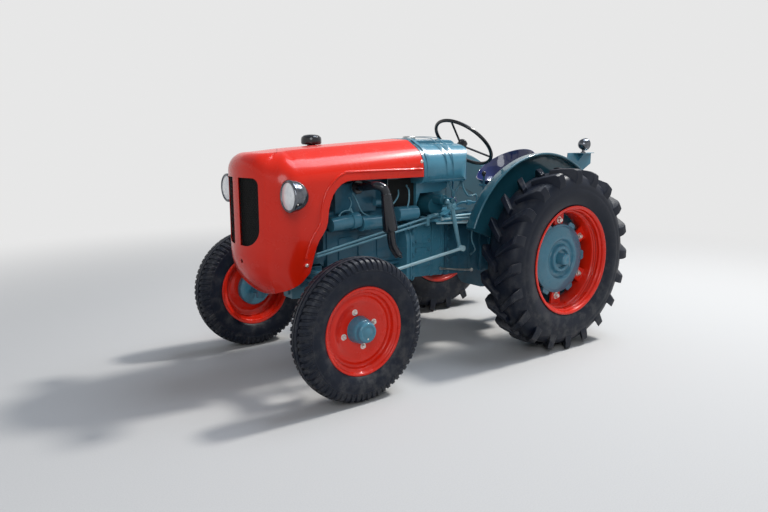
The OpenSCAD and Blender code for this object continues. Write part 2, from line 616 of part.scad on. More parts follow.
// Exhaust: out of the head, over an elbow and down through a silencer that widens towards its foot
silencer_y = 344;
module exhaust() color(black) place() {
    x = exhaust_x;
    port = [x, engine_left_y + 14 + seat_gap, 1018];
    elbow = [x - 34, 326, 1028];
    top = [x - 62, silencer_y, 985];
    foot = [x - 92, silencer_y, 790];
    tail = [x - 101, silencer_y + 2, 712];
    rod(port + [0, 8, 0], elbow, 22, 32);
    rod(port, port + [0, 12, 0], 38, 32);
    translate(elbow) sphere(r = 26, $fn = 32);
    rod(elbow, top, 24, 32);
    len = norm(foot - top);
    turned(top, foot, [[0, -14], [20, -10], [26, 0], [32, 50], [42, len - 18], [42, len - 4], [36, len + 4],
        [0, len + 8]]);
    rod(foot, tail, 23, 32);
    translate(tail) sphere(r = 25, $fn = 32);
    rod(tail, [x - 143, silencer_y + 8, 646], 22, 32);
}

// Air cleaner: oil bowl, body and pipe with a mushroom cap above the bonnet
air_pos = [engine_front_x - 126, -196];
air_pipe_r = 26;
module air_cleaner() color(black) place() {
    translate([air_pos[0], air_pos[1], 0]) rotate_extrude($fn = 48) polygon([[0, 806], [46, 806], [56, 820],
        [56, 868], [60, 868], [60, 878], [56, 882], [56, 985], [40, 1008], [air_pipe_r, 1014],
        [air_pipe_r, 1240],
        [54, 1245], [59, 1252], [59, 1274], [56, 1286], [44, 1296], [24, 1301], [0, 1302]]);
    box(air_pos[0] - 16, air_pos[0] + 16, air_pos[1] + 50, -128 - seat_gap, 890, 960);
}

// Engine's side: dynamo, injection pump, its filter and the starter on the clutch housing
module engine_fittings() color(blue) place() {
    front = engine_front_x;
    y = engine_left_y + 46;
    rod([front, y, 826], [front - 173, y, 843], 38, 32);
    rod([front - 128, y, 838.6], [front - 176, y, 843.3], 46, 32);
    rod([front - 192, y, 820], [front - 330, y, 820], 42, 32);
    box(front - 320, front - 20, 139 + seat_gap, y - 20, 800, 860);
    rod([front - 288, y, 930], [front - 349, y, 930], 19);
    box(front - 320, front - 306, engine_left_y + seat_gap, y, 922, 938);
    rod([bell_x - 12, 196, casing_top_z + 54], [bell_x + 128, 196, casing_top_z + 54], 42, 32);
    box(bell_x - 10, bell_x + 6, 120, 200, casing_top_z + seat_gap, casing_top_z + 26);
}

// Hydraulic pipes along the side, with the fitting where they enter the casing
module side_rods() color(blue) place() {
    for (dz = [0, 24]) rod([cross_bar_x - 2, 235, 663 - dz], [740, 236, 822 - dz], 8);
    rod([744, 236, 824], [664, 236, 838], 15);
    box(742, 764, 177 + seat_gap, 246, 776, 828);
}

// Rear mudguard: an inner plate that flares over the tyre to a rolled lip
guard_lip_y = 468;
guard_y = 372;
guard_t = 6;
module mudguard(side) color(blue) place() {
    difference() {
        translate([0, 0, rear_r]) rotate([-90 * side, 0, 0]) rotate_extrude($fn = 120) {
            polygon([[380, guard_y + guard_t], [guard_r - 46, guard_y + guard_t],
                [guard_r - 20, guard_y + 16],
                [guard_r - 8, guard_y + 38], [guard_r - 7, guard_lip_y - 8], [guard_r - 1, guard_lip_y - 8],
                [guard_r - 1, guard_y + 38], [guard_r - 14, guard_y + 12], [guard_r - 44, guard_y],
                [380, guard_y]]);
            translate([guard_r - 6, guard_lip_y - 8]) circle(r = 8, $fn = 24);
        }
        translate([0, side * 420, rear_r]) rotate([90, 0, 0]) linear_extrude(140, center = true)
            polygon([[0, 0], [900, 330], [900, -900], [-900, -900], [-900, -160]]);
    }
    box(-60, 60, min(side * guard_y, side * (guard_y + guard_t)),
        max(side * guard_y, side * (guard_y + guard_t)),
        rear_r + trumpet_r + seat_gap, rear_r + 390);
}

// Bracket behind the left mudguard's top: a gusset with a shelf that carries the work lamp
bracket_y = guard_y - seat_gap;
bracket_z = rear_r + guard_r - 8;
bracket_x0 = -guard_r + 61;
bracket_x1 = -guard_r + 306;
module lamp_bracket() color(blue) place() {
    along_y(bracket_y - 5, bracket_y) polygon([[bracket_x0, bracket_z - 74], [bracket_x0, bracket_z],
        [bracket_x1, bracket_z], [bracket_x1 + 30, bracket_z - 190], [bracket_x1 - 60, bracket_z - 170]]);
    along_x(bracket_x0, bracket_x1)
        polygon(rounded(bracket_y - 5, bracket_y + 62, bracket_z - 5, bracket_z, 2));
}

module work_lamp() color(black) place() translate([bracket_x0 + 128, bracket_y + 30, bracket_z + seat_gap]) {
    cylinder(h = 6, r = 16);
    cylinder(h = 24, r = 9);
    translate([0, 0, 54]) rotate([0, -90, 0]) rotate_extrude($fn = 48) polygon(concat([[0, 22], [30, 20],
        [36, 24], [40, 22], [40, 12]], [for (a = [0:15:90]) [38 * cos(a), 8 - 44 * sin(a)]]));
}

// Pan seat: a turned dish whose rim is cut on a slant, low at the front and high at the back
seat_x = -112;
seat_z = 930;
seat_h = 270;
seat_t = 5;
module seat_dish(inset) rotate_extrude($fn = 96) polygon(concat([[0, seat_h + 40]],
    [for (i = [0:12]) let (a = 7.5 * i)
        [(seat_half_w - inset) * sin(a), inset + seat_h * pow(1 - cos(a), 1.3)]],
    [[seat_half_w - inset, seat_h + 40]]));

module seat_pan() color(black) place() intersection() {
    translate([seat_x, 0, seat_z]) difference() {
        seat_dish(0);
        seat_dish(seat_t);
    }
    along_y(-300, 300) polygon([[seat_x + 140, seat_z - 210], [seat_x + 170, seat_z + 65],
        [seat_x + 80, seat_z + 90], [seat_x - seat_half_w - 20, seat_z + 280],
        [seat_x - seat_half_w - 20, seat_z - 210]]);
}

// Seat's flat spring, its foot on the axle casing and the coil that it rests on
coil_x = 9;
coil_turns = 5;
module seat_spring() color(blue) place() {
    spring_top = seat_z - seat_gap;
    along_y(-38, 38) polygon([[seat_x - 70, spring_top - 12], [seat_x - 70, spring_top],
        [seat_x + 60, spring_top],
        [coil_x + 60, spring_top + 44], [coil_x + 60, spring_top + 32], [seat_x + 66, spring_top - 12]]);
    translate([coil_x, 0, 0]) rotate_extrude($fn = 48) polygon(concat([[0, axle_top_z + seat_gap],
        [48, axle_top_z + seat_gap], [48, axle_top_z + 14], [34, axle_top_z + 20]],
        [for (i = [0:2 * coil_turns]) [i % 2 == 0 ? 26 : 36,
            axle_top_z + 24 + i * (spring_top - axle_top_z - 18) / (2 * coil_turns)]],
        [[0, spring_top + 6]]));
    along_y(-30, 30) polygon([[seat_x - 60, axle_top_z + seat_gap], [seat_x - 60, axle_top_z + 10],
        [seat_x - 30, spring_top - 8], [seat_x + 10, spring_top - 8], [seat_x - 30, axle_top_z + 10],
        [seat_x + 20, axle_top_z + seat_gap]]);
}

// Footplates along both sides of the gearbox, each with a raised outer edge and a slot for the levers
plate_z = casing_top_z + seat_gap;
plate_t = 6;
plate_y0 = 104;
plate_y1 = 322;
plate_x0 = 100;
plate_x1 = 740;
lever_x = 292;
lever_y = 230;
module footrests() color(blue) place() for (s = [-1, 1]) difference() {
    union() {
        translate([0, 0, plate_z]) linear_extrude(plate_t) polygon(rounded(plate_x0, plate_x1,
            min(s * plate_y0, s * plate_y1), max(s * plate_y0, s * plate_y1), 20));
        along_y(min(s * (plate_y1 - 6), s * plate_y1), max(s * (plate_y1 - 6), s * plate_y1)) polygon([
            [plate_x0 + 24, plate_z + 1], [plate_x0 + 40, plate_z + 36], [plate_x1 - 150, plate_z + 36],
            [plate_x1 - 120, plate_z + 20], [plate_x1 - 24, plate_z + 20], [plate_x1 - 24, plate_z + 1]]);
    }
    box(lever_x - 26, lever_x + 26, lever_y - 14, lever_y + 14, 700, 900);
}

// Pedals standing on the footplates: the clutch on the left and two brakes on the right
module pedals() color(blue) place() for (y = [285, -226, -290]) {
    box(560, 600, y - 13, y + 13, plate_z + plate_t + seat_gap, plate_z + 28);
    rod([580, y, plate_z + 22], [640, y, plate_z + 50], 8);
    along_y(y - 27, y + 27) polygon([[626, plate_z + 58], [634, plate_z + 64], [684, plate_z + 40],
        [678, plate_z + 32]]);
}

// A lever from point a to the middle of its ball b
module lever(a, b, r, ball_r) {
    len = norm(b - a);
    dip = acos(r / ball_r);
    turned(a, b, concat([[0, 0], [r, 0]],
        [for (i = [0:8]) let (t = -dip + i * (90 + dip) / 8) [ball_r * cos(t), len + ball_r * sin(t)]]));
}

module gear_lever() color(blue) place() {
    translate([330, -20, cover_top_z + seat_gap]) cylinder(h = 28, r = 26, $fn = 48);
    translate([330, -20, cover_top_z + 20]) sphere(r = 20, $fn = 32);
    lever([330, -20, cover_top_z + 20], [300, -40, 1022], 7.5, 15);
}

module hand_lever() color(blue) place() {
    rod([lever_x, gearbox_half_w + seat_gap, 700], [lever_x, lever_y + 10, 700], 14);
    lever([lever_x, lever_y, 700], [lever_x, lever_y, 1062], 7, 14);
}

module drawbar() color(blue) place() difference() {
    union() {
        box(drawbar_end_x, axle_rear_x - 10, -35, 35, 380, 402);
        box(axle_rear_x - 18, axle_rear_x - seat_gap, -90, 90, 330, 450);
    }
    translate([drawbar_end_x + 40, 0, 370]) cylinder(h = 50, r = 13);
}

module pto_shaft() color(steel) place() translate([axle_rear_x - seat_gap, 0, 560]) rotate([0, -90, 0]) {
    cylinder(h = 20, r = 60);
    cylinder(h = 100, r = 17.5);
}

tab_r = 196;
tab_t = 14;
module rear_rim(side) color(red) place() {
    wheel_turn(0, rear_r, side) polygon([
        [rear_rim_r, -rear_lip], [rear_rim_r, -rear_lip + 6], [312.7, -rear_lip + 12], [312.7, -70],
        [290, -56], [290, 40], [312.7, 70], [312.7, rear_lip - 12], [rear_rim_r, rear_lip - 6],
        [rear_rim_r, rear_lip], [rear_rim_r - 12, rear_lip], [306, rear_lip - 8], [305, 72], [283, 44],
        [283, -58], [305, -74], [306, -rear_lip + 8], [rear_rim_r - 12, -rear_lip]]);
    for (k = [0:5]) translate([0, side * half_track, rear_r]) rotate([0, 30 + 60 * k, 0])
        along_y(side > 0 ? -tab_t : 0, side > 0 ? 0 : tab_t)
            polygon([[tab_r, -34], [tab_r, 34], [286, 46], [286, -46]]);
}

// Cast centre on the tabs: a shallow dome with a moat round a raised hub, and ears between the bolts
module rear_centre(side) color(blue) place() {
    wheel_turn(0, rear_r, side) polygon([[0, -218], [axle_stub_r, -218], [axle_stub_r, -112], [120, -112],
        [120, -92], [180, -16], [190, seat_gap], [212, seat_gap], [212, 13], [208, 16], [194, 19], [170, 25],
        [140, 33], [128, 34], [120, 26], [112, 10], [94, 8], [86, 14], [80, 32], [74, 39], [62, 39], [56, 34],
        [52, 18], [35, 16], [35, 68], [30, 73], [0, 73]]);
    for (k = [0:5]) translate([0, side * half_track, rear_r]) rotate([0, 60 * k, 0])
        along_y(side > 0 ? seat_gap : -13, side > 0 ? 13 : -seat_gap)
            polygon([[190, -36], [190, 36], [236, 24], [236, -24]]);
}

engine();
clutch_housing();
gearbox();
rear_axle_housing();
front_bolster();
front_axle();
radiator();
bonnet();
grille();
headlamps();
fuel_tank();
filler_cap();
dash_panel();
steering_box();
exhaust();
air_cleaner();
engine_fittings();
side_rods();
mudguard(1);  // mudguard_left
mudguard(-1);  // mudguard_right
lamp_bracket();
work_lamp();
seat_pan();
seat_spring();
footrests();
pedals();
gear_lever();
hand_lever();
drawbar();
pto_shaft();
knuckle(1);  // knuckle_left
knuckle(-1);  // knuckle_right
front_tyre(1);  // tyre_front_left
front_tyre(-1);  // tyre_front_right
rear_tyre(1);  // tyre_rear_left
rear_tyre(-1);  // tyre_rear_right
front_wheel(1);  // wheel_front_left
front_wheel(-1);  // wheel_front_right
front_hub(1);  // hub_front_left
front_hub(-1);  // hub_front_right
rear_rim(1);  // rim_rear_left
rear_rim(-1);  // rim_rear_right
rear_centre(1);  // centre_rear_left
rear_centre(-1);  // centre_rear_right
steering_wheel();
tie_rod();
drag_link();
drop_arm();
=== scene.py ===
import json
import math

import bmesh
import bpy
from mathutils import Matrix, Vector

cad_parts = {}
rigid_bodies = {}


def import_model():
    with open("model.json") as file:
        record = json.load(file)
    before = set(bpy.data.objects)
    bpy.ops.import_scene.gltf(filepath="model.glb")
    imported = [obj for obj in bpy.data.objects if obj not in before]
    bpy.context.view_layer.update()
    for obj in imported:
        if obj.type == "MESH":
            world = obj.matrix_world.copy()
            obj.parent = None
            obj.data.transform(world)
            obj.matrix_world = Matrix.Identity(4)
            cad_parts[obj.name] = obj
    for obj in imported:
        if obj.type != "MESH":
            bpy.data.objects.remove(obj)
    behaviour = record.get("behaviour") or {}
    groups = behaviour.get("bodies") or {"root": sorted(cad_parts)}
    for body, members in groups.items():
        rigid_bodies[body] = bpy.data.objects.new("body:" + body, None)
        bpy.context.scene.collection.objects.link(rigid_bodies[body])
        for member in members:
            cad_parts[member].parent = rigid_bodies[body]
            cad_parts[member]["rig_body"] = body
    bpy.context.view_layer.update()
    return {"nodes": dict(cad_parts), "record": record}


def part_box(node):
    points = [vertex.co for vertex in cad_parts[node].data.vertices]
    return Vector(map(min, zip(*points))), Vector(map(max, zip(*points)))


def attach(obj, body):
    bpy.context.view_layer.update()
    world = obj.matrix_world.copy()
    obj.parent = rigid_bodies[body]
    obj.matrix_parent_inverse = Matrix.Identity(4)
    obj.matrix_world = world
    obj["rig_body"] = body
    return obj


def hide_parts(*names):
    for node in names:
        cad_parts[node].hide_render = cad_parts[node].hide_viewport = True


print("tractor: loading the frame")
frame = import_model()

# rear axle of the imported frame: every place below is measured from it
rearTyreLow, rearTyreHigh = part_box("tyre_rear_left")
rearAxle = Vector(((rearTyreLow.x + rearTyreHigh.x) / 2, 0, 0))


# scene point of a tractor point in millimetres: ahead of the rear axle, to the left, above the floor
def toScene(point):
    return rearAxle + Vector(point) / 1000


# box of a CAD node in the tractor's millimetres
def boxOf(node):
    return [(corner - rearAxle) * 1000 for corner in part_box(node)]


def sided(name, side):
    return name + ("_left" if side > 0 else "_right")


# nodes: a socket takes a fixed value or a link from another node

def feed(tree, node, sockets):
    for label, value in sockets.items():
        if isinstance(value, bpy.types.NodeSocket):
            tree.links.new(value, node.inputs[label])
        else:
            node.inputs[label].default_value = value


def addNode(tree, kind, sockets=None, **settings):
    node = tree.nodes.new(kind)
    for key, value in settings.items():
        setattr(node, key, value)
    feed(tree, node, sockets or {})
    return node


def newGroup(name, inputs, outputs):
    group = bpy.data.node_groups.new(name, "ShaderNodeTree")
    for label, default in inputs.items():
        group.interface.new_socket(label, in_out="INPUT", socket_type="NodeSocketFloat").default_value = default
    for label in outputs:
        kind = "NodeSocketVector" if label == "Normal" else "NodeSocketFloat"
        group.interface.new_socket(label, in_out="OUTPUT", socket_type=kind)
    return group, group.nodes.new("NodeGroupInput").outputs, group.nodes.new("NodeGroupOutput")


def mathNode(tree, operation, first, second, clamp=False):
    return addNode(tree, "ShaderNodeMath", {0: first, 1: second}, operation=operation, use_clamp=clamp).outputs[0]


def noiseOf(tree, position, scale, detail=3.0, roughness=0.55):
    return addNode(tree, "ShaderNodeTexNoise", dict(Vector=position, Scale=scale, Detail=detail,
        Roughness=roughness)).outputs["Fac"]


def rampOf(tree, value, low, high):
    return addNode(tree, "ShaderNodeMapRange", {"Value": value, "From Min": low, "From Max": high},
        interpolation_type="SMOOTHSTEP").outputs["Result"]


def mixColour(tree, factor, first, second):
    first, second = ((*c, 1.0) if isinstance(c, tuple) else c for c in (first, second))
    return addNode(tree, "ShaderNodeMix", {0: factor, 6: first, 7: second}, data_type="RGBA").outputs[2]


def objectPlace(tree):
    return addNode(tree, "ShaderNodeTexCoord").outputs["Object"]


# dust: thicker on what faces up and low down, broken up by noise
def makeDustGroup():
    group, given, end = newGroup("roadDust", dict(Amount=0.5, Scale=9.0), ["Mask"])
    position = objectPlace(group)
    facing = addNode(group, "ShaderNodeSeparateXYZ", {0: addNode(group, "ShaderNodeNewGeometry").outputs["Normal"]})
    height = addNode(group, "ShaderNodeSeparateXYZ", {0: position})
    upward = mathNode(group, "MULTIPLY", rampOf(group, facing.outputs["Z"], 0.2, 1.0), 0.45)
    low = mathNode(group, "MULTIPLY", rampOf(group, height.outputs["Z"], 0.9, 0.1), 0.55)
    patches = rampOf(group, noiseOf(group, position, given["Scale"], 6.0, 0.65), 0.42, 0.72)
    cover = mathNode(group, "MULTIPLY", mathNode(group, "ADD", upward, low), patches)
    feed(group, end, dict(Mask=mathNode(group, "MULTIPLY", cover, given["Amount"], True)))
    return group


# wear and grime: where the rounded normal leaves the true one there is an edge, and a low noise adds dark stains
def makeWearGroup():
    group, given, end = newGroup("edgeAndGrime", dict(Edge=0.3, Grime=0.5, Scale=6.0, Radius=0.004),
        ["Edge", "Grime", "Normal"])
    position = objectPlace(group)
    rounded = addNode(group, "ShaderNodeBevel", dict(Radius=given["Radius"]), samples=4).outputs[0]
    trueNormal = addNode(group, "ShaderNodeNewGeometry").outputs["Normal"]
    same = addNode(group, "ShaderNodeVectorMath", {0: rounded, 1: trueNormal}, operation="DOT_PRODUCT")
    bent = rampOf(group, mathNode(group, "SUBTRACT", 1.0, same.outputs["Value"]), 0.02, 0.14)
    chips = rampOf(group, noiseOf(group, position, 70.0, 5.0, 0.7), 0.5, 0.62)
    edge = mathNode(group, "MULTIPLY", mathNode(group, "MULTIPLY", bent, chips), given["Edge"], True)
    stains = rampOf(group, noiseOf(group, position, given["Scale"], 7.0, 0.62), 0.44, 0.74)
    feed(group, end, dict(Edge=edge, Grime=mathNode(group, "MULTIPLY", stains, given["Grime"], True), Normal=rounded))
    return group


# surface height: broad waves of a pressed sheet or the pits of a casting
def makeGrainGroup():
    group, given, end = newGroup("surfaceGrain", dict(Fine=900.0, Broad=14.0, Mix=0.5), ["Height"])
    position = objectPlace(group)
    fine = noiseOf(group, position, given["Fine"], 2.0, 0.5)
    broad = noiseOf(group, position, given["Broad"], 3.0, 0.5)
    mix = addNode(group, "ShaderNodeMix", {0: given["Mix"], 2: fine, 3: broad}, data_type="FLOAT")
    feed(group, end, dict(Height=mix.outputs[0]))
    return group


dustGroup, wearGroup, grainGroup = makeDustGroup(), makeWearGroup(), makeGrainGroup()

# what a finish has unless its own line says otherwise: bare is what shows at worn edges
paintLook = dict(bare=None, dust=0.10, grime=0.30, edge=0.30, rough=0.30, coat=0.30, bump=0.05, fine=300.0,
    broad=20.0, mix=0.5, metallic=0.0, specular=0.22, bumpDepth=0.002, wearScale=6.0, wearRadius=0.004, dustScale=9.0,
    dustColour=(0.30, 0.27, 0.23), dustRough=0.5, grimeRough=0.15)
steelLook = dict(grime=0.5, coat=0.0, bump=0.1, fine=700.0, broad=60.0, mix=0.4, metallic=0.9, specular=0.5,
    bumpDepth=0.001, wearScale=40.0, wearRadius=0.002, grimeRough=0.25)

# the first finish of a material slot dresses the CAD nodes that have this slot
finishes = dict(
    redPaint=dict(slot="red_paint", colour=(0.700, 0.016, 0.003), shade=(0.560, 0.009, 0.002), bare=(0.30, 0.03, 0.02),
        grime=0.22, edge=0.10, rough=0.26, fine=260.0, broad=9.0, mix=0.75),
    bluePaint=dict(slot="blue_paint", colour=(0.055, 0.205, 0.290), shade=(0.024, 0.105, 0.155),
        bare=(0.16, 0.20, 0.21), dust=0.22, grime=0.35, edge=0.25, rough=0.26, coat=0.45, bump=0.06, broad=10.0,
        mix=0.7),
    castingPaint=dict(slot="casting_paint", colour=(0.030, 0.128, 0.195), shade=(0.010, 0.046, 0.074),
        bare=(0.13, 0.17, 0.18), dust=0.30, grime=0.60, edge=0.40, rough=0.36, coat=0.25, bump=0.30, fine=420.0,
        broad=30.0, mix=0.4),
    guardPaint=dict(slot="guard_paint", colour=(0.016, 0.095, 0.135), shade=(0.012, 0.070, 0.100),
        bare=(0.16, 0.22, 0.24), dust=0.25, edge=0.25, rough=0.22, coat=0.6, fine=280.0, broad=8.0, mix=0.75),
    blackPaint=dict(slot="black_paint", colour=(0.010, 0.011, 0.015), shade=(0.006, 0.007, 0.010),
        bare=(0.09, 0.09, 0.10), dust=0.15, grime=0.25, edge=0.25, rough=0.18, coat=0.6, bump=0.04, broad=10.0,
        mix=0.7),
    exhaustBlack=dict(slot="exhaust_black", colour=(0.010, 0.012, 0.018), shade=(0.006, 0.007, 0.010),
        bare=(0.08, 0.06, 0.05), dust=0.15, grime=0.40, rough=0.24, coat=0.6, bump=0.10, fine=500.0, broad=40.0,
        mix=0.4),
    darkMesh=dict(slot="dark_mesh", colour=(0.012, 0.014, 0.014), shade=(0.006, 0.007, 0.007), bare=(0.05, 0.05, 0.05),
        grime=0.40, edge=0.20, rough=0.45, coat=0.1, fine=400.0),
    blackPlastic=dict(slot="black_plastic", colour=(0.012, 0.012, 0.014), shade=(0.008, 0.008, 0.009),
        bare=(0.05, 0.05, 0.05), dust=0.12, grime=0.25, edge=0.15, rough=0.24, coat=0.4, bump=0.04, fine=500.0,
        broad=18.0, mix=0.6),
    tyreRubber=dict(slot="tyre_rubber", colour=(0.0050, 0.0085, 0.0180), shade=(0.011, 0.015, 0.026),
        bare=(0.090, 0.092, 0.098), dust=0.75, grime=0.6, edge=0.55, rough=0.40, coat=0.0, bump=0.25, fine=650.0,
        broad=45.0, mix=0.35, bumpDepth=0.0015, wearScale=11.0, dustScale=14.0, dustColour=(0.115, 0.112, 0.108),
        dustRough=0.25, grimeRough=0.0),
    seatBlack=dict(slot="black_paint", colour=(0.016, 0.026, 0.110), shade=(0.008, 0.012, 0.050),
        bare=(0.09, 0.09, 0.12), grime=0.2, edge=0.2, rough=0.14, coat=0.9, bump=0.03, broad=10.0, mix=0.7),
    # pale blue for thin rods and edges: their paint, lightened by painted sheen
    palePaintAndSheen=dict(slot="blue_paint", colour=(0.33, 0.50, 0.55), shade=(0.16, 0.28, 0.33), bare=(0.42, 0.44, 0.44),
        rough=0.28, coat=0.4),
    paleBlue=dict(slot="blue_paint", colour=(0.11, 0.26, 0.33), shade=(0.05, 0.15, 0.20), bare=(0.30, 0.33, 0.34),
        rough=0.32),
    pipePaint=dict(slot="blue_paint", colour=(0.14, 0.33, 0.42), shade=(0.06, 0.16, 0.21), bare=(0.25, 0.30, 0.32)),
    # near-black for places inside the tractor that lie in shade: painted shade
    paintedShadeBlack=dict(slot="dark_mesh", colour=(0.006, 0.007, 0.007), shade=(0.004, 0.004, 0.004),
        bare=(0.01, 0.01, 0.01), dust=0.05, edge=0.0, rough=0.7, coat=0.0, bump=0.1),
    brightSteel=dict(steelLook, slot="bright_steel", colour=(0.62, 0.62, 0.60), shade=(0.248, 0.248, 0.240)),
    zincBolt=dict(steelLook, slot="bright_steel", colour=(0.78, 0.74, 0.70), shade=(0.312, 0.296, 0.280), rough=0.34),
    lampShell=dict(steelLook, slot="black_paint", colour=(0.15, 0.16, 0.18), shade=(0.060, 0.064, 0.072), rough=0.16),
    # lamp glass: pale colour that is a painted reflection of the reflector behind it
    lampGlass=dict(slot="bright_steel", colour=(0.92, 0.93, 0.94), shade=(0.74, 0.77, 0.80), flutes=34.0, reflectionClouds=26.0,
        rough=0.16, bump=0.35, bumpDepth=0.0012),
)


def newMaterial(name):
    material = bpy.data.materials.new(name)
    material.use_nodes = True
    return material, material.node_tree, material.node_tree.nodes["Principled BSDF"]


# colour with stains, worn edges and dust over it, and a gloss that they dull
def makeFinish(name, own):
    look = {**paintLook, **own}
    material, tree, surface = newMaterial(name)
    wear = addNode(tree, "ShaderNodeGroup", dict(Edge=look["edge"], Grime=look["grime"], Scale=look["wearScale"],
        Radius=look["wearRadius"]), node_tree=wearGroup).outputs
    grain = addNode(tree, "ShaderNodeGroup", dict(Fine=look["fine"], Broad=look["broad"], Mix=look["mix"]),
        node_tree=grainGroup).outputs
    colour = mixColour(tree, wear["Grime"], look["colour"], look["shade"])
    rough = mathNode(tree, "ADD", mathNode(tree, "MULTIPLY", wear["Grime"], look["grimeRough"]), look["rough"])
    if look["bare"]:
        dirt = addNode(tree, "ShaderNodeGroup", dict(Amount=look["dust"], Scale=look["dustScale"]),
            node_tree=dustGroup).outputs["Mask"]
        colour = mixColour(tree, dirt, mixColour(tree, wear["Edge"], colour, look["bare"]), look["dustColour"])
        rough = mathNode(tree, "ADD", mathNode(tree, "MULTIPLY", dirt, look["dustRough"]), rough, True)
    bump = addNode(tree, "ShaderNodeBump", dict(Strength=look["bump"], Distance=look["bumpDepth"],
        Height=grain["Height"], Normal=wear["Normal"])).outputs["Normal"]
    feed(tree, surface, {"Base Color": colour, "Roughness": rough, "Normal": bump, "Metallic": look["metallic"],
        "Coat Weight": look["coat"], "Coat Roughness": 0.06, "Specular IOR Level": look["specular"]})
    return material


# pale fluted lamp glass, opaque: its pale colour with cloudy patches is a painted reflection of the bright reflector
# behind it
def makeLampGlass(name, look):
    material, tree, surface = newMaterial(name)
    position = objectPlace(tree)
    flutes = addNode(tree, "ShaderNodeTexWave", dict(Vector=position, Scale=look["flutes"]), wave_type="BANDS",
        bands_direction="Y").outputs["Fac"]
    reflectionClouds = rampOf(tree, noiseOf(tree, position, look["reflectionClouds"]), 0.35, 0.7)
    bump = addNode(tree, "ShaderNodeBump", dict(Strength=look["bump"], Distance=look["bumpDepth"], Height=flutes))
    feed(tree, surface, {"Base Color": mixColour(tree, reflectionClouds, look["colour"], look["shade"]), "Metallic": 0.1,
        "Normal": bump.outputs["Normal"], "Roughness": look["rough"], "Coat Weight": 1.0, "Coat Roughness": 0.03})
    return material


print("tractor: materials")
finish, slotFinish = {}, {}
for finishName, finishLook in finishes.items():
    finish[finishName] = (makeLampGlass if "flutes" in finishLook else makeFinish)(finishName, finishLook)
    slotFinish.setdefault(finishLook["slot"], finishName)

nodeFinishName = {}
for subpart in frame["record"]["subparts"]:
    nodeObject = frame["nodes"][subpart["node"]]
    nodeFinishName[subpart["node"]] = slotFinish[subpart["material_slot"]]
    nodeFinish = finish[nodeFinishName[subpart["node"]]]
    for place in nodeObject.material_slots:
        place.material = nodeFinish
    if not nodeObject.material_slots:
        nodeObject.data.materials.append(nodeFinish)
# the drag link's pale blue is its paint with painted sheen
nodeFinishName.update(drag_link="palePaintAndSheen", drop_arm="paleBlue", seat_pan="seatBlack", work_lamp="lampShell",
    steering_box="guardPaint", clutch_housing="bluePaint")

# building: a form is a list of points in the tractor's millimetres and a list of faces

print("tractor: pieces")


def addObject(name, data):
    thing = bpy.data.objects.new(name, data)
    bpy.context.scene.collection.objects.link(thing)
    return thing


def joined(*forms):
    points, faces = [], []
    for formPoints, formFaces in forms:
        base = len(points)
        points += formPoints
        faces += [tuple(base + index for index in face) for face in formFaces]
    return points, faces


# a form of the left side together with its mirror image
def bothSides(form):
    points, faces = form
    return joined(form, ([Vector((p.x, -p.y, p.z)) for p in points], [tuple(reversed(face)) for face in faces]))


# faces between rows of points; a closed row meets its own start, and closed rows come back to the first
def gridFaces(rows, count, closedRow=False, closedRows=False):
    faces = []
    for a in range(rows if closedRows else rows - 1):
        first, second = a * count, (a + 1) % rows * count
        for k in range(count if closedRow else count - 1):
            m = (k + 1) % count
            faces.append((first + k, first + m, second + m, second + k))
    return faces


# a bar of rings of points, with both ends closed
def barOf(points, sides):
    count = len(points)
    return points, gridFaces(count // sides, sides, True) + [tuple(range(sides - 1, -1, -1)),
        tuple(range(count - sides, count))]


def turns(count, start=0.0):
    return [start + math.tau * k / count for k in range(count)]


def ringOf(middle, first, second, radius, count, start=0.0):
    return [middle + (first * math.cos(t) + second * math.sin(t)) * radius for t in turns(count, start)]


# an axis with the two directions across it
def acrossAxis(axis):
    along = Vector(axis).normalized()
    side = along.cross(Vector((0, 0, 1)) if abs(along.z) < 0.9 else Vector((1, 0, 0))).normalized()
    return along, side, side.cross(along)


# rows of (radius, distance along the axis) turned about the axis
def turned(rows, origin, axis, steps=64):
    along, side, up = acrossAxis(axis)
    points, rings = [], []
    for radius, reach in rows:
        middle = Vector(origin) + along * reach
        if radius < 1e-3:
            rings.append([len(points)] * steps)
            points.append(middle)
        else:
            rings.append(list(range(len(points), len(points) + steps)))
            points += ringOf(middle, up, side, radius, steps)
    faces = []
    for first, second in zip(rings, rings[1:]):
        for k in range(steps):
            m = (k + 1) % steps
            face = tuple(dict.fromkeys((first[k], first[m], second[m], second[k])))
            if len(face) > 2:
                faces.append(face)
    return points, faces


# a smooth path through points, for pipes and rods
def smoothPath(points, each=6):
    points = [Vector(p) for p in points]
    ends = [points[0] * 2 - points[1], *points, points[-1] * 2 - points[-2]]
    path = []
    for a, b, c, d in zip(ends, ends[1:], ends[2:], ends[3:]):
        for k in range(each):
            t = k / each
            path.append(0.5 * ((2 * b) + (c - a) * t + (2 * a - 5 * b + 4 * c - d) * t * t
                + (3 * b - a - 3 * c + d) * t ** 3))
    return [*path, points[-1]]


# a round rod along a path; a pair of radii makes it taper
def tube(path, radius, sides=12, closed=False):
    path = [Vector(p) for p in path]
    last = len(path) - 1
    first, final = radius if isinstance(radius, tuple) else (radius, radius)
    points, up = [], None
    for index, place in enumerate(path):
        before = path[index - 1] if index or closed else place
        after = path[(index + 1) % len(path)] if index < last or closed else place
        ahead = (after - before).normalized()
        up = ahead.orthogonal() if up is None else up
        up = (up - ahead * up.dot(ahead)).normalized()
        points += ringOf(place, up, ahead.cross(up), first + (final - first) * index / last, sides)
    return (points, gridFaces(len(path), sides, True, True)) if closed else barOf(points, sides)


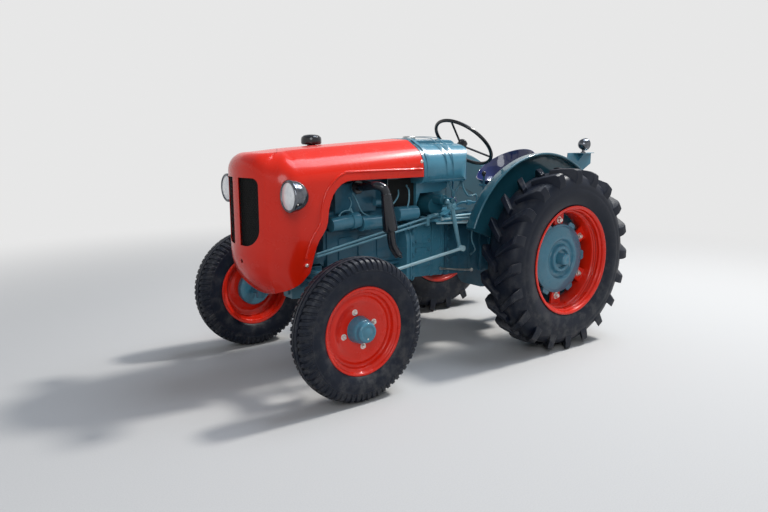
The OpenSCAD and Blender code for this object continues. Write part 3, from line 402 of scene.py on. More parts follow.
# a flat outline given in two directions from an origin, made thick along their cross product
def plate(outline, origin, across, upward, thickness):
    across, upward = Vector(across), Vector(upward)
    base = [Vector(origin) + across * u + upward * v for u, v in outline]
    lift = across.cross(upward).normalized() * thickness
    return barOf(base + [p + lift for p in base], len(base))


# a plate seen from the side: outline of (ahead, above), made thick to the right
def sidePlate(outline, left, thickness):
    return plate(outline, (0, left, 0), (1, 0, 0), (0, 0, 1), thickness)


# a hexagon bolt on its washer: steps round it, and rows in shares of its size
boltShape = dict(
    washer=(20, [(0, 0), (0.82, 0), (0.82, 0.12), (0, 0.12)]),
    head=(6, [(0, 0.12), (0.56, 0.12), (0.56, 0.6284), (0.46, 0.74), (0, 0.74)]),
    stud=(12, [(0.27, 0.74), (0.27, 0.926), (0, 0.926)]),
)


def boltForm(place, axis, size):
    return joined(*(turned([(r * size, h * size) for r, h in rows], place, axis, steps)
        for steps, rows in boltShape.values()))


def boltRing(centre, axis, radius, count, size, start=0.0):
    along, side, up = acrossAxis(axis)
    return joined(*(boltForm(p, along, size) for p in ringOf(Vector(centre), up, side, radius, count, start)))


def pieceFrom(bm, name, finishName, body, bevel, sharp, stands):
    mesh = bpy.data.meshes.new(name)
    bm.to_mesh(mesh)
    bm.free()
    mesh.shade_smooth()
    mesh.set_sharp_from_angle(angle=math.radians(sharp))
    mesh.materials.append(finish[finishName])
    piece = addObject(name, mesh)
    if bevel:
        rounding = piece.modifiers.new("roundedEdges", "BEVEL")
        rounding.width = bevel / 1000
        rounding.segments = 2
        rounding.limit_method = "ANGLE"
        rounding.angle_limit = math.radians(sharp)
        rounding.harden_normals = True
    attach(piece, body)
    if stands:
        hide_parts(stands)
    return piece


def addPiece(name, form, finishName, body="chassis", bevel=0.0, sharp=35.0, stands=None):
    points, faces = form
    bm = bmesh.new()
    corners = [bm.verts.new(toScene(p)) for p in points]
    for face in faces:
        bm.faces.new([corners[index] for index in face])
    bmesh.ops.remove_doubles(bm, verts=bm.verts, dist=1e-5)
    bmesh.ops.recalc_face_normals(bm, faces=bm.faces)
    return pieceFrom(bm, name, finishName, body, bevel, sharp, stands)


def appliedMesh(piece):
    bpy.context.view_layer.update()
    mesh = bpy.data.meshes.new_from_object(piece.evaluated_get(bpy.context.evaluated_depsgraph_get()))
    piece.modifiers.clear()
    piece.data = mesh


def cutWith(piece, form):
    mesh = bpy.data.meshes.new("cutter")
    mesh.from_pydata([toScene(p) for p in form[0]], [], form[1])
    cutter = addObject("cutter", mesh)
    cut = piece.modifiers.new("cut", "BOOLEAN")
    cut.object = cutter
    cut.operation = "DIFFERENCE"
    cut.solver = "EXACT"
    appliedMesh(piece)
    bpy.data.objects.remove(cutter)


# bonnet: ribs that rise from the lower edge over the shoulder to the ridge, all round the plan
bonnetShape = dict(
    rear=822.0, nose=1836.0, halfWidth=286.0, sheet=3.0, sharp=48.0, top=1274.0, slope=0.06, crown=3000.0,
    noseDrop=6.0, dropFrom=330.0, dropTo=97.0, ridgeLean=0.55, leanFrom=560.0, leanTo=160.0,
    noseRadius=380.0, noseEdge=32.6, cornerRadius=175.0, cornerBack=215.0, cornerStart=48.0,
    # each at the nose, then what the corner adds and what the side adds
    shoulder=dict(radius=(93, 82, -25), depth=(97, 53, 0), rise=(93, 81, -4.2)), sideRound=150.0, sideRise=169.8,
    lowerStart=700.0, lowerRadius=271.0, bendFrom=230, bendStep=8, openingTop=1064.0,
    openingEdge=[(-1100, 0), (-526, 0), (-496, -3), (-460, -17), (-430, -42), (-408, -70), (-393, -104),
        (-382, -142), (-376, -180), (-373, -208), (-363, -238), (-343, -268), (-320, -298), (-303, -330),
        (-291, -364), (-281, -398), (-274, -422), (-262, -458), (-114, -596), (400, -596)],
    beadOut=44.0, beadRadius=7.5, beadSunk=1.8, pipeHole=31.0, pipePlace=(1266, -196, 1000), noseHole=11.0,
    noseHolePlace=(1600, 30, 658),
    grille=dict(low=742.0, high=1088.0, inner=32.0, outer=172.0, lowRound=95.0, highRound=36.0, behind=9.0,
        pitch=17.0, wire=0.8, wireStep=5, wireAcross=0.58, wireUp=0.82, shadeBacking=22.0),
)


def smoothStep(value, low, high):
    t = min(1.0, max(0.0, (value - low) / (high - low)))
    return t * t * (3 - 2 * t)


# value at a place along a line of (place, value) points
def between(line, place):
    for (x0, y0), (x1, y1) in zip(line, line[1:]):
        if place <= x1:
            return y0 + (y1 - y0) * max(0.0, (place - x0) / (x1 - x0))
    return line[-1][1]


def arcPoint(x, y, radius, degrees):
    return x + radius * math.cos(math.radians(degrees)), y + radius * math.sin(math.radians(degrees))


def openingHeight(x):
    return bonnetShape["openingTop"] + between(bonnetShape["openingEdge"], x - bonnetShape["nose"])


def roofHeight(x, y):
    shape = bonnetShape
    drop = shape["noseDrop"] * smoothStep(x, shape["nose"] - shape["dropFrom"], shape["nose"] - shape["dropTo"])
    return shape["top"] - shape["slope"] * (x - shape["rear"]) - y * y / shape["crown"] - drop


# stations of the left half of the plan: place, outward angle from straight ahead, and share of corner and side
def planStations():
    shape = bonnetShape
    nose, half, radius = shape["nose"], shape["halfWidth"], shape["cornerRadius"]
    cornerX, front = nose - shape["cornerBack"], nose - shape["noseRadius"]
    rows, corner = [], []
    for k in range(13):
        angle = shape["noseEdge"] * k / 12
        rows.append((*arcPoint(front, 0, shape["noseRadius"], angle), angle, smoothStep(k, 7.5, 14.0)))
    for k in range(12):
        angle = shape["cornerStart"] + (90 - shape["cornerStart"]) * k / 11
        corner.append((*arcPoint(cornerX, half - radius, radius, angle), angle, 1.0 + smoothStep(k, 3, 14)))
    first, last = (*rows[-1][:2], 40.0, rows[-1][3]), (*corner[0][:2], 46.0, 1.0)
    rows += [tuple(a + (b - a) * k / 4 for a, b in zip(first, last)) for k in (1, 2, 3)] + corner
    # along the side a rib stands at each bend of the opening's edge
    stops = {nose - shape["bendFrom"] - shape["bendStep"] * k for k in range(4)}
    stops = sorted(stops | {nose + x for x, _ in shape["openingEdge"][1:-2]}, reverse=True)
    places = [a + (b - a) * k / 2 for a, b in zip(stops, stops[1:]) for k in range(2)]
    places += [stops[-1] + (shape["rear"] - stops[-1]) * k / 12 for k in range(13)]
    return rows + [(x, half, 90.0, min(2.0, 1.6 + 0.4 * smoothStep(cornerX - x, 0, 120)))
        for x in places if x < cornerX - 1]


def ribOf(x, y, angle, share):
    shape = bonnetShape
    normal = Vector(arcPoint(0, 0, 1, angle))
    corner, side = min(1.0, share), max(0.0, share - 1.0)
    radius, depth, rise = (a + b * corner + c * side for a, b, c in shape["shoulder"].values())
    crest = Vector((x, y)) - normal * depth
    crestZ = roofHeight(*crest)
    middleZ = crestZ - rise
    lean = math.atan2(rise, radius - depth) - math.acos(min(1.0, radius / math.hypot(radius - depth, rise)))
    lean = min(lean, math.radians(89))

    def inset(z):
        low = shape["lowerRadius"]
        below = max(0.0, min(shape["lowerStart"] - z, low * 0.995))
        return low - math.sqrt(low * low - below * below)

    def inside(distance, z):
        return Vector((x - normal.x * distance, y - normal.y * distance, z))

    lowZ = openingHeight(x)
    for _ in range(12):
        lowZ = 0.5 * lowZ + 0.5 * openingHeight(x - normal.x * inset(lowZ))
    lowZ = min(lowZ, middleZ - 2.0)
    heights = [lowZ + (middleZ - lowZ) * (k / 14) ** 1.25 for k in range(15)]
    rib = [inside(inset(z) * normal.x, z) for z in heights]
    rib += [inside(radius * (1 - math.cos(t)), middleZ + radius * math.sin(t))
        for t in (lean * k / 10 for k in range(1, 11))]
    top = Vector((*crest, crestZ))
    rib += [rib[-1].lerp(top, 0.5), top]
    nose = shape["nose"]
    ridge = -crest.y * shape["ridgeLean"] * smoothStep(crest.x, nose - shape["leanFrom"], nose - shape["leanTo"])
    for k in range(1, 8):
        x1, y1 = crest.x + ridge * k / 7, crest.y * (1 - k / 7)
        rib.append(Vector((x1, y1, roofHeight(x1, y1))))
    return rib


def makeBonnet():
    shape = bonnetShape
    ribs = [ribOf(*station) for station in planStations()]
    left = ([p for rib in ribs for p in rib], gridFaces(len(ribs), len(ribs[0])))
    piece = addPiece("bonnetShell", bothSides(left), "redPaint", sharp=50.0, stands="bonnet")
    thick = piece.modifiers.new("sheet", "SOLIDIFY")
    thick.thickness = shape["sheet"] / 1000
    thick.offset = -1.0
    appliedMesh(piece)
    opening = plate(grilleOutline(0.0), (shape["nose"] - 200, 0, 0), (0, 1, 0), (0, 0, 1), 300)
    pipe, nose = shape["pipeHole"], shape["noseHole"]
    cutWith(piece, joined(bothSides(opening),
        turned([(0, 0), (pipe, 0), (pipe, 300), (0, 300)], shape["pipePlace"], (0, 0, 1), 40),
        turned([(0, 0), (nose, 0), (nose, 300), (0, 300)], shape["noseHolePlace"], (1, 0, 0), 24)))
    piece.data.shade_smooth()
    piece.data.set_sharp_from_angle(angle=math.radians(shape["sharp"]))


def grilleOutline(grow):
    g = bonnetShape["grille"]
    rows = [(g["inner"] - grow, g["low"] - grow)]
    for z, radius, first in ((g["low"] + g["lowRound"], g["lowRound"], -90),
            (g["high"] - g["highRound"], g["highRound"], 0)):
        rows += [arcPoint(g["outer"] - radius, z, radius + grow, first + 90 * k / 8) for k in range(9)]
    return rows + [(g["inner"] - grow, g["high"] + grow)]


def insideOutline(outline, y, z):
    inside = False
    for (y0, z0), (y1, z1) in zip(outline, [*outline[1:], outline[0]]):
        if (z0 > z) != (z1 > z) and y < y0 + (y1 - y0) * (z - z0) / (z1 - z0):
            inside = not inside
    return inside


# grille: fine crossed wires behind each opening, on a near-black backing that paints the shade inside the nose
def makeGrille():
    shape, g = bonnetShape, bonnetShape["grille"]
    outline = grilleOutline(g["behind"])

    def behindNose(y, z, back):
        radius = shape["noseRadius"] - back
        return Vector((shape["nose"] - shape["noseRadius"] + math.sqrt(radius * radius - y * y), y, z))

    wires = []
    for lean in (1, -1):
        for number in range(int(3100 / g["pitch"]) + 1):
            run = []
            for k in range(0, 620, g["wireStep"]):
                y = number * g["pitch"] - 1500 + lean * k * g["wireAcross"]
                z = g["low"] - 60 + k * g["wireUp"]
                if insideOutline(outline, y, z):
                    run.append(behindNose(y, z, g["behind"] + lean * 0.7))
                elif len(run) > 2:
                    break
                else:
                    run = []
            if len(run) > 2:
                wires.append(tube(run, g["wire"], 5))
    addPiece("grilleWires", bothSides(joined(*wires)), "darkMesh", stands="grille")
    # near-black panel just behind the wires: painted shade inside the nose
    shadeBacking = [behindNose(12 + (g["outer"] - 6) * j / 8, g["low"] - 12 + (g["high"] - g["low"] + 24) * k / 24,
        g["shadeBacking"]) for k in range(25) for j in range(9)]
    addPiece("grilleShadeBacking", bothSides((shadeBacking, gridFaces(25, 9))), "paintedShadeBlack")


# raised bead that follows the side opening
def makeBonnetBead():
    shape = bonnetShape
    plan = sorted(station[:2] for station in planStations())
    edge = [(shape["rear"] - shape["nose"] + 12, 0), *shape["openingEdge"][1:-3]]
    path = []
    for (x0, z0), (x, z), (x1, z1) in zip([edge[0], *edge], edge, edge[1:]):
        ahead = Vector((x1 - x0, z1 - z0)).normalized() * shape["beadOut"]
        path.append((shape["nose"] + x - ahead.y, 0, shape["openingTop"] + z + ahead.x))
    path = smoothPath(path, 4)
    for p in path:
        above = p.z - roofHeight(p.x, shape["halfWidth"] - shape["sideRound"]) + shape["sideRise"]
        lean = math.asin(min(1.0, max(0.0, above / shape["sideRound"])))
        p.y = between(plan, p.x) - shape["sideRound"] * (1 - math.cos(lean)) - shape["beadSunk"]
    addPiece("bonnetBead", bothSides(tube(path, shape["beadRadius"], 10)), "redPaint", sharp=60.0)


makeBonnet()
makeGrille()
makeBonnetBead()

# headlamps: dark bowl and bezel, and a pale fluted glass
lampShape = dict(centre=(1724, 352, 1008), radius=80.0, glass=67.0, depth=84.5, boss=(1647, 285, 1008),
    screw=(1716, 425, 974))


def makeHeadlamps():
    r, glass, rearward = lampShape["radius"], lampShape["glass"], (-1, 0, 0)
    centre = lampShape["centre"]
    rows = [(glass - 1, -2), (glass + 1, -5.5), (glass + 4, -7), (r - 4, -5.5), (r - 1, -3), (r, 1), (r, 10),
        (r - 1.5, 12.5), (r - 3.5, 13.5), (r - 3.5, 17.5)]
    rows += [((r - 3.5) * math.cos(t), 17.5 + lampShape["depth"] * math.sin(t))
        for t in (math.radians(6 * k) for k in range(1, 15))] + [(0, 17.5 + lampShape["depth"])]
    boss = turned([(0, 0), (24, 0), (24, 4), (14, 8), (14, 52), (0, 52)], lampShape["boss"], (0, 1, 0), 28)
    addPiece("headlampBowls", bothSides(joined(turned(rows, centre, rearward, 72), boss)), "lampShell", sharp=40.0,
        stands="headlamps")
    pane = [(0, -12.5), (20, -11.8), (40, -9.5), (56, -6), (glass, -2), (glass, 3), (0, 3)]
    addPiece("headlampGlasses", bothSides(turned(pane, centre, rearward, 72)), "lampGlass", sharp=50.0)
    screw = turned([(0, 0), (4, 0), (4, 3), (2, 5), (0, 5)], lampShape["screw"], (0, 1, -0.45), 14)
    addPiece("headlampScrews", bothSides(screw), "zincBolt")


makeHeadlamps()

# wheels: turned rims, discs and hubs, and tyres with their own tread

frontWheel = dict(ahead=1486, out=586, above=362, boltRadius=92.0, boltCount=4, boltSize=19.0, blocks=66,
    section=290.0)
rearWheel = dict(ahead=0, out=586, above=550, lugs=20, lead=11.2, phase=2.2, halfWidth=128.0, boltRadius=236.0,
    boltSize=26.0)


def wheelPlace(wheel, side):
    return Vector((wheel["ahead"], side * wheel["out"], wheel["above"])), Vector((0, side, 0))


# tread rows are (radius, distance out, depth of the gaps, share of a pitch by which the block leans)
def treadForm(rows, blocks, centre, axis, section):
    along, side, up = acrossAxis(axis)
    stations = [(k + part, low) for k in range(blocks) for part, low in ((0.0, 0), (0.54, 0), (0.62, 1), (0.92, 1))]
    points = []
    for radius, reach, depth, lean in rows:
        inward = Vector((section - radius, -reach)).normalized() * depth
        for turn, low in stations:
            angle = math.tau * (turn + lean) / blocks
            spoke = up * math.cos(angle) + side * math.sin(angle)
            points.append(centre + along * (reach + inward.y * low) + spoke * (radius + inward.x * low))
    return points, gridFaces(len(rows), len(stations), True)


def makeFrontTyre(name, side):
    smooth = [(208, 44), (214, 49), (222, 52), (227, 58), (236, 64.5), (247, 69.5), (260, 73), (276, 74.6),
        (290, 74.2), (299, 73.2), (301, 74.0), (304, 74.0), (306, 72.6), (308, 72.2)]
    half = [(r, h, 0, 0) for r, h in smooth] + [(309, 73.8, 3.5, 0), (318, 72.6, 4.5, 0.05), (328, 70.0, 5.5, 0.12),
        (338, 65.5, 6.5, 0.20), (345, 60.5, 7.0, 0.26), (350.5, 54.5, 7.5, 0.31), (353.5, 49.0, 8.0, 0.35),
        (355.5, 42.5, 8.0, 0.40), (357.3, 35.0, 8.0, 0.44), (358.4, 30.5, 7.0, 0.52), (358.6, 29.4, 3.0, 0.52),
        (350, 28.0, 0, 0.5), (348.6, 24.5, 0, 0.5), (350, 20.4, 0, 0.5), (359.6, 19.0, 1.2, 0.46),
        (360.6, 17.0, 0, 0.5), (361.2, 11.0, 0, 0.5), (361.3, 5.6, 0, 0.5), (360.4, 4.2, 1.0, 0.54), (352, 3.2, 0, 0.5),
        (351, 0.0, 0, 0.5)]
    rows = half + [(r, -h, d, 1.0 - lean) for r, h, d, lean in reversed(half[:-1])]
    form = treadForm(rows, frontWheel["blocks"], *wheelPlace(frontWheel, side), frontWheel["section"])
    addPiece(name + "Tread", form, "tyreRubber", sided("front_wheel", side), sharp=28.0, stands=name)


def makeFrontWheel(side):
    centre, axis = wheelPlace(frontWheel, side)
    body = sided("front_wheel", side)
    rim = [(222, 50.5), (222, 53), (220.5, 54.8), (218, 55), (213, 54.5), (209.5, 52.5), (207.5, 49), (206.5, 44.5),
        (205, 42), (201, 40.5), (196, 39.5), (191, 37), (188.5, 33), (187.5, 28), (187, 20), (185.5, 15.5), (182, 12.5),
        (177, 11.5), (171.5, 12.2), (167, 15), (162, 18), (156, 19.6), (149, 19.2), (142, 16.5), (133, 11.5),
        (123, 7), (113, 4), (103, 3), (60, 3), (60, -4), (103, -4), (116, -2), (128, 2), (140, 9), (150, 12), (168, 4),
        (180, 1), (181.5, -8), (182, -28), (200.7, -36), (201.7, -49), (213, -55), (222, -55), (222, -50),
        (208.5, -46), (207.7, -32), (188, -24), (188, 10), (190, 22), (207.7, 32), (207.7, 46), (222, 50.5)]
    addPiece(sided("frontWheelDisc", side), turned(rim, centre, axis, 128), "redPaint", body, sharp=50.0,
        stands=sided("wheel_front", side))
    hub = [(17.6, -48), (98, -48), (102, -44), (102, -12), (98, -6), (69, -5), (69, 3.5), (68, 6), (66, 24), (62, 42),
        (58, 53), (54, 57), (51.5, 60), (51, 76), (49, 80), (45, 83), (40, 84.6), (37, 84), (35, 81.5), (31, 81),
        (26, 81), (23, 83), (18, 84.8), (0, 85)]
    addPiece(sided("frontHub", side), turned(hub, centre, axis, 80), "bluePaint", body, sharp=45.0,
        stands=sided("hub_front", side))
    bolts = boltRing(centre + axis * 2.8, axis, frontWheel["boltRadius"], frontWheel["boltCount"],
        frontWheel["boltSize"], math.radians(15 * side))
    grease = turned([(0, 0), (5, 0), (5, 4), (3.5, 6.5), (0, 6.5)], centre + axis * 78 + Vector((0, 0, -31)), axis, 12)
    addPiece(sided("frontWheelBolts", side), joined(bolts, grease), "zincBolt", body, sharp=30.0)


# a lug from the middle to the shoulder: share of the half width, radius and half thickness of its top and its foot
lugStations = [(-0.03, 549.0, 17.0, -0.03, 510.0, 25.0), (0.2, 549.6, 18.0, 0.18, 509.5, 27.0),
    (0.4, 550.0, 19.5, 0.4, 508.0, 29.0), (0.62, 550.0, 21.0, 0.6, 498.0, 31.0), (0.84, 549.0, 23.0, 0.78, 484.0, 33.0),
    (0.95, 540.0, 24.0, 0.88, 462.0, 34.0), (1.0, 498.0, 25.0, 0.92, 436.0, 34.0)]


def lugForm(centre, across, start):
    points = []
    for topShare, topRadius, topHalf, footShare, footRadius, footHalf in lugStations:
        top, foot = (topShare, topRadius, topHalf), (footShare, footRadius, footHalf)
        for (share, radius, half), sign in ((foot, -1), (top, -1), (top, 1), (foot, 1)):
            turn = math.radians(start + rearWheel["lead"] * (1 - share)) + sign * half / radius
            spoke = Vector((math.cos(turn), 0, -math.sin(turn)))
            points.append(centre + spoke * radius + Vector((0, across * share * rearWheel["halfWidth"], 0)))
    return barOf(points, 4)


def makeRearTyre(name, side):
    centre, axis = wheelPlace(rearWheel, side)
    body = sided("rear_wheel", side)
    half = [(313, 102), (325, 104), (334, 108), (344, 116)]
    for t in (math.radians(90 * k / 26) for k in range(1, 27)):
        r, h = 389 + 135 * math.sin(t) ** 0.62, rearWheel["halfWidth"] * math.cos(t) ** 0.62
        half.append((r, h - 1.6 if 425 < r < 436 else h))
    rows = half + [(r, -h) for r, h in reversed(half[:-1])]
    addPiece(name + "Carcass", turned(rows, centre, axis, 144), "tyreRubber", body, sharp=50.0, stands=name)
    pitch = 360 / rearWheel["lugs"]
    lugs = [lugForm(centre, side * hand, pitch * (k + shift) + 180 - rearWheel["phase"])
        for hand, shift in ((1, 0.0), (-1, 0.5)) for k in range(rearWheel["lugs"])]
    addPiece(name + "Lugs", joined(*lugs), "tyreRubber", body, bevel=4.0, sharp=28.0)


# a flat ear of the wheel, pointing outward from the axle
def earForm(outline, centre, axis, turn, out, thickness):
    along, side, up = acrossAxis(axis)
    spoke, across = up * math.cos(turn) + side * math.sin(turn), side * math.cos(turn) - up * math.sin(turn)
    return plate(outline, centre + along * out, across, spoke, thickness)


def makeRearWheel(side):
    centre, axis = wheelPlace(rearWheel, side)
    body = sided("rear_wheel", side)
    outer = [(331, 110), (331, 113.5), (329, 115), (325, 115), (319, 114.5), (314, 112), (310.5, 107), (308.5, 101),
        (309, 96), (308, 92), (303.5, 89.5), (300.5, 87), (299.5, 82), (301, 77), (303.5, 72.5), (303, 68), (297, 59),
        (288, 50), (284, 45), (283, 38)]
    inner = [(r, -h) for r, h in reversed(outer)]
    back = [(312.7, -103), (312.7, -70), (290, -56), (290, 56), (312.7, 70), (312.7, 103), (331, 110)]
    tab = [(-34, 196), (34, 196), (40, 236), (46, 286), (-46, 286), (-40, 236)]
    ear = [(-36, 190), (36, 190), (28, 228), (20, 236), (-20, 236), (-28, 228)]
    tabs = [earForm(tab, centre, axis, t, 0, 14) for t in turns(6)]
    ears = [earForm(ear, centre, axis, t, 13, 12.5) for t in turns(6, math.pi / 6)]
    addPiece(sided("rearRim", side), joined(turned(outer + inner + back, centre, axis, 144), *tabs), "redPaint", body,
        sharp=42.0, bevel=1.2, stands=sided("rim_rear", side))
    disc = [(0, -118), (30, -118), (30, -112), (118, -112), (150, -110), (192, -108), (197, -104), (198, -98),
        (198, -52), (194, -46), (186, -42), (184, -14), (190, 0.5), (211, 0.5), (212, 2), (212, 12), (210, 15),
        (206, 16.4), (200, 17), (197, 19.5), (188, 22), (170, 26), (152, 30.5), (138, 33.4), (130, 34), (124, 32.5),
        (120, 28), (116.5, 20), (113, 13.5), (108, 10.5), (100, 9), (93, 10), (88, 14), (84.5, 22), (82, 31),
        (79, 36.5), (74, 39), (66, 39), (60.5, 37.5), (57.5, 33), (55, 24), (52, 19), (46, 17), (36, 16.5), (35, 18),
        (35, 60), (34, 66), (31, 70.5), (27, 72.5), (14, 72.8), (11, 70.5), (0, 70.5)]
    axle = turned([(0, -218), (30, -218), (30, -100), (0, -100)], centre, axis, 40)
    addPiece(sided("rearCentre", side), joined(turned(disc, centre, axis, 112), axle, *ears), "bluePaint", body,
        sharp=40.0, stands=sided("centre_rear", side))
    addPiece(sided("rearBolts", side), boltRing(centre, axis, rearWheel["boltRadius"], 6, rearWheel["boltSize"]),
        "zincBolt", body, sharp=30.0)


for side in (1, -1):
    makeFrontTyre(sided("tyre_front", side), side)
    makeFrontWheel(side)
    makeRearTyre(sided("tyre_rear", side), side)
    makeRearWheel(side)

# the remaining nodes keep their shape, with smooth rounds and softened edges, in millimetres

print("tractor: castings and sheet metal")
softEdges = dict(
    engine=3, clutch_housing=3, gearbox=3, rear_axle_housing=3, front_bolster=3, front_axle=0, radiator=2, fuel_tank=3,
    filler_cap=1, dash_panel=1, steering_box=2, air_cleaner=1, engine_fittings=2, mudguard_left=1, mudguard_right=1,
    work_lamp=1, seat_pan=1, seat_spring=1.5, footrests=1, pedals=1.5, drawbar=3, pto_shaft=1, knuckle_left=0,
    knuckle_right=0, steering_wheel=0, tie_rod=0, drag_link=0)


def roundNode(node, bevel):
    source = frame["nodes"][node]
    bm = bmesh.new()
    bm.from_mesh(source.data)
    bmesh.ops.remove_doubles(bm, verts=bm.verts, dist=2e-5)
    bmesh.ops.dissolve_limit(bm, angle_limit=math.radians(0.4), verts=bm.verts, edges=bm.edges)
    return pieceFrom(bm, node + "Rounded", nodeFinishName[node], source["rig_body"], bevel, 28.0, node)


# the housings end higher than their plain forms do
def trimBelow(piece, place, normal):
    bm = bmesh.new()
    bm.from_mesh(piece.data)
    cut = bmesh.ops.bisect_plane(bm, geom=bm.verts[:] + bm.edges[:] + bm.faces[:], plane_co=place, plane_no=normal,
        clear_inner=True)
    bmesh.ops.holes_fill(bm, edges=[part for part in cut["geom_cut"] if isinstance(part, bmesh.types.BMEdge)], sides=0)
    bm.to_mesh(piece.data)
    bm.free()


rounded = {node: roundNode(node, bevel) for node, bevel in softEdges.items()}
for node in ("clutch_housing", "gearbox"):
    trimBelow(rounded[node], toScene((500, 0, 447)), (-0.045, 0, 1))

# exhaust: elbow from the head, a silencer that widens downwards and a tail pipe with a slanted mouth
exhaustShape = dict(port=(1196, 165, 1018), top=(1134, 344, 985), foot=(1104, 344, 790), mouth=(1055, 352, 650),
    elbow=[(1194, 230, 1022), (1180, 292, 1032), (1160, 330, 1028), (1144, 343, 1012)], elbowRadius=(21.0, 25.0),
    tail=[(1099, 345, 745), (1091, 346, 705), (1072, 349, 672)], tailRadius=23.5)


def makeExhaust():
    port, top, foot, mouth = (Vector(exhaustShape[key]) for key in ("port", "top", "foot", "mouth"))
    down, length = foot - top, (foot - top).length
    bolts = [boltForm(port + Vector((dx, 10, 0)), (0, 1, 0), 14) for dx in (-28, 28)]
    rim = ringOf(mouth, Vector((0, 1, 0)), Vector((0.62, 0, 0.62)), 24.5, 24)
    addPiece("exhaustPipe", joined(
        tube(smoothPath([port, *exhaustShape["elbow"], top]), exhaustShape["elbowRadius"], 28),
        turned([(0, 0), (37, 0), (38, 1), (38, 8), (36, 10), (0, 10)], port, (0, 1, 0), 32),
        turned([(0, -10), (22, -10), (25, -6), (27, 0), (28.5, 12), (32, 50), (38.5, length - 60), (41, length - 18),
            (42, length - 6), (41, length - 1), (36, length + 3), (27, length + 5), (0, length + 5)], top, down, 48),
        turned([(26, -4), (28, -4), (28.5, 2), (26.5, 2)], top, down, 40),
        tube(smoothPath([foot, *exhaustShape["tail"], mouth]), exhaustShape["tailRadius"], 28),
        tube(rim, 3.5, 8, closed=True), *bolts), "exhaustBlack", sharp=40.0, stands="exhaust")


makeExhaust()


# levers with black balls
def makeLever(name, foot, ball, rod, ballSize, base):
    foot, ball = Vector(foot), Vector(ball)
    addPiece(name + "Rod", joined(tube([foot, ball], rod, 14), turned(base, foot - Vector((0, 0, 20)), (0, 0, 1), 36)),
        "castingPaint", sharp=40.0, stands=name)
    rows = [(ballSize * math.sin(t), -ballSize * math.cos(t)) for t in (math.pi * k / 14 for k in range(3, 15))]
    addPiece(name + "Ball", turned([(rod + 2, -ballSize * 1.25), (rod + 3, -ballSize * 0.8), *rows], ball, ball - foot,
        28), "blackPlastic", sharp=60.0)


makeLever("gear_lever", (330, -20, 796), (300, -40, 1022), 7.0, 15.0,
    [(0, 0.5), (26, 0.5), (26, 6), (22, 14), (16, 24), (11, 34), (9, 40), (0, 40)])
makeLever("hand_lever", (292, 230, 700), (292, 230, 1062), 6.5, 14.0, [(0, 4), (16, 4), (16, 36), (0, 36)])
addPiece("handLeverPivot", turned([(0, 0), (14, 0), (14, 76), (12, 80), (0, 80)], (292, 160.5, 700), (0, 1, 0), 28),
    "castingPaint", sharp=40.0)

# straps over the tank: each has its place, its width and its height over the tank
tankStraps = dict(low=1058.0, halfWidth=284.0, edge=1.0, chamfer=0.8, roof=(134, 110, 80, 45, 0),
    straps=[(770, 24, 2.2), (590, 8, 1.8), (640, 8, 1.8), (812, 7, 2.4)])


def overTank(x, lift):
    bend, low, roof = bonnetShape["sideRound"], tankStraps["low"], tankStraps["roof"]
    half, middle = tankStraps["halfWidth"] + lift, roofHeight(x, roof[0]) - bonnetShape["sideRise"] + 2
    rows = [(half - 12, low - 9), (half - 3.5, low - 3), (half, low + 8), (half, middle)]
    rows += [arcPoint(half - bend, middle, bend, 6.2 * k) for k in range(1, 11)]
    rows += [(y, roofHeight(x, y) - 2 + lift) for y in roof]
    return [Vector((x, y, z)) for y, z in rows] + [Vector((x, -y, z)) for y, z in reversed(rows[:-1])]


def strapForm(x, width, lift):
    edge, chamfer = -tankStraps["edge"], tankStraps["chamfer"]
    rings = [overTank(x + dx, dl) for dx, dl in ((0, edge), (chamfer, lift), (width - chamfer, lift), (width, edge))]
    return [p for ring in rings for p in ring], gridFaces(4, len(rings[0]))


addPiece("tankStraps", joined(*(strapForm(*strap) for strap in tankStraps["straps"])), "bluePaint", sharp=50.0)

# thin pipes and rods of the engine's side and below the tank, each with a nut at both ends: finish, radius and routes
pipes = dict(
    injectorPipes=("pipePaint", 3.0, [
        [(1336, 196, 872), (1322, 204, 892), (1296, 208, 900), (1266, 208, 893), (1248, 205, 872)],
        [(1262, 198, 905), (1246, 206, 876), (1214, 208, 862), (1186, 204, 850)],
        [(1216, 152, 985), (1214, 190, 940), (1196, 208, 886), (1156, 210, 862), (1118, 204, 850)],
        [(1240, 152, 960), (1256, 196, 936), (1276, 204, 900)]]),
    fuelPipes=("pipePaint", 4.5, [
        [(850, 160, 1010), (862, 200, 985), (872, 214, 930), (884, 212, 880)],
        [(905, 150, 1000), (930, 190, 960), (980, 205, 915), (1010, 200, 905)]]),
    # tank rods in pale blue: their paint with painted highlight lines along them
    tankRodsPaleSheen=("paleBlue", 6.0, [
        [(561, 200, 1026), (518, 202, 951)], [(442, 196, 1031), (480, 200, 984), (518, 202, 946)],
        [(518, 202, 948), (516, 196, 905), (540, 150, 870), (600, 60, 850)],
        [(455, 200, 1026), (438, 204, 975), (404, 206, 932), (370, 206, 928), (330, 206, 928), (318, 200, 880),
            (316, 196, 806)]]),
    brakeRods=("bluePaint", 8.0, [
        [(402, 214, 889), (298, 214, 880), (276, 214, 860), (268, 210, 806)],
        [(402, 214, 889), (440, 214, 892), (470, 200, 884), (520, 180, 850), (560, 168, 806)]]),
    brakeCable=("paleBlue", 4.2, [
        [(450, 330, 786), (472, 331, 756), (484, 331, 722), (476, 326, 673), (424, 300, 610), (360, 200, 560)]]),
    lowerRod=("brightSteel", 5.5, [[(604, 188, 496), (470, 190, 474), (338, 188, 456)]]),
    # plate rods in pale blue: their paint with painted sheen along them
    plateRods=("palePaintAndSheen", 5.0, [
        [(646, 331, 832), (520, 332, 833), (384, 331, 828)], [(724, 331, 820), (600, 332, 818), (467, 331, 813)]]),
)
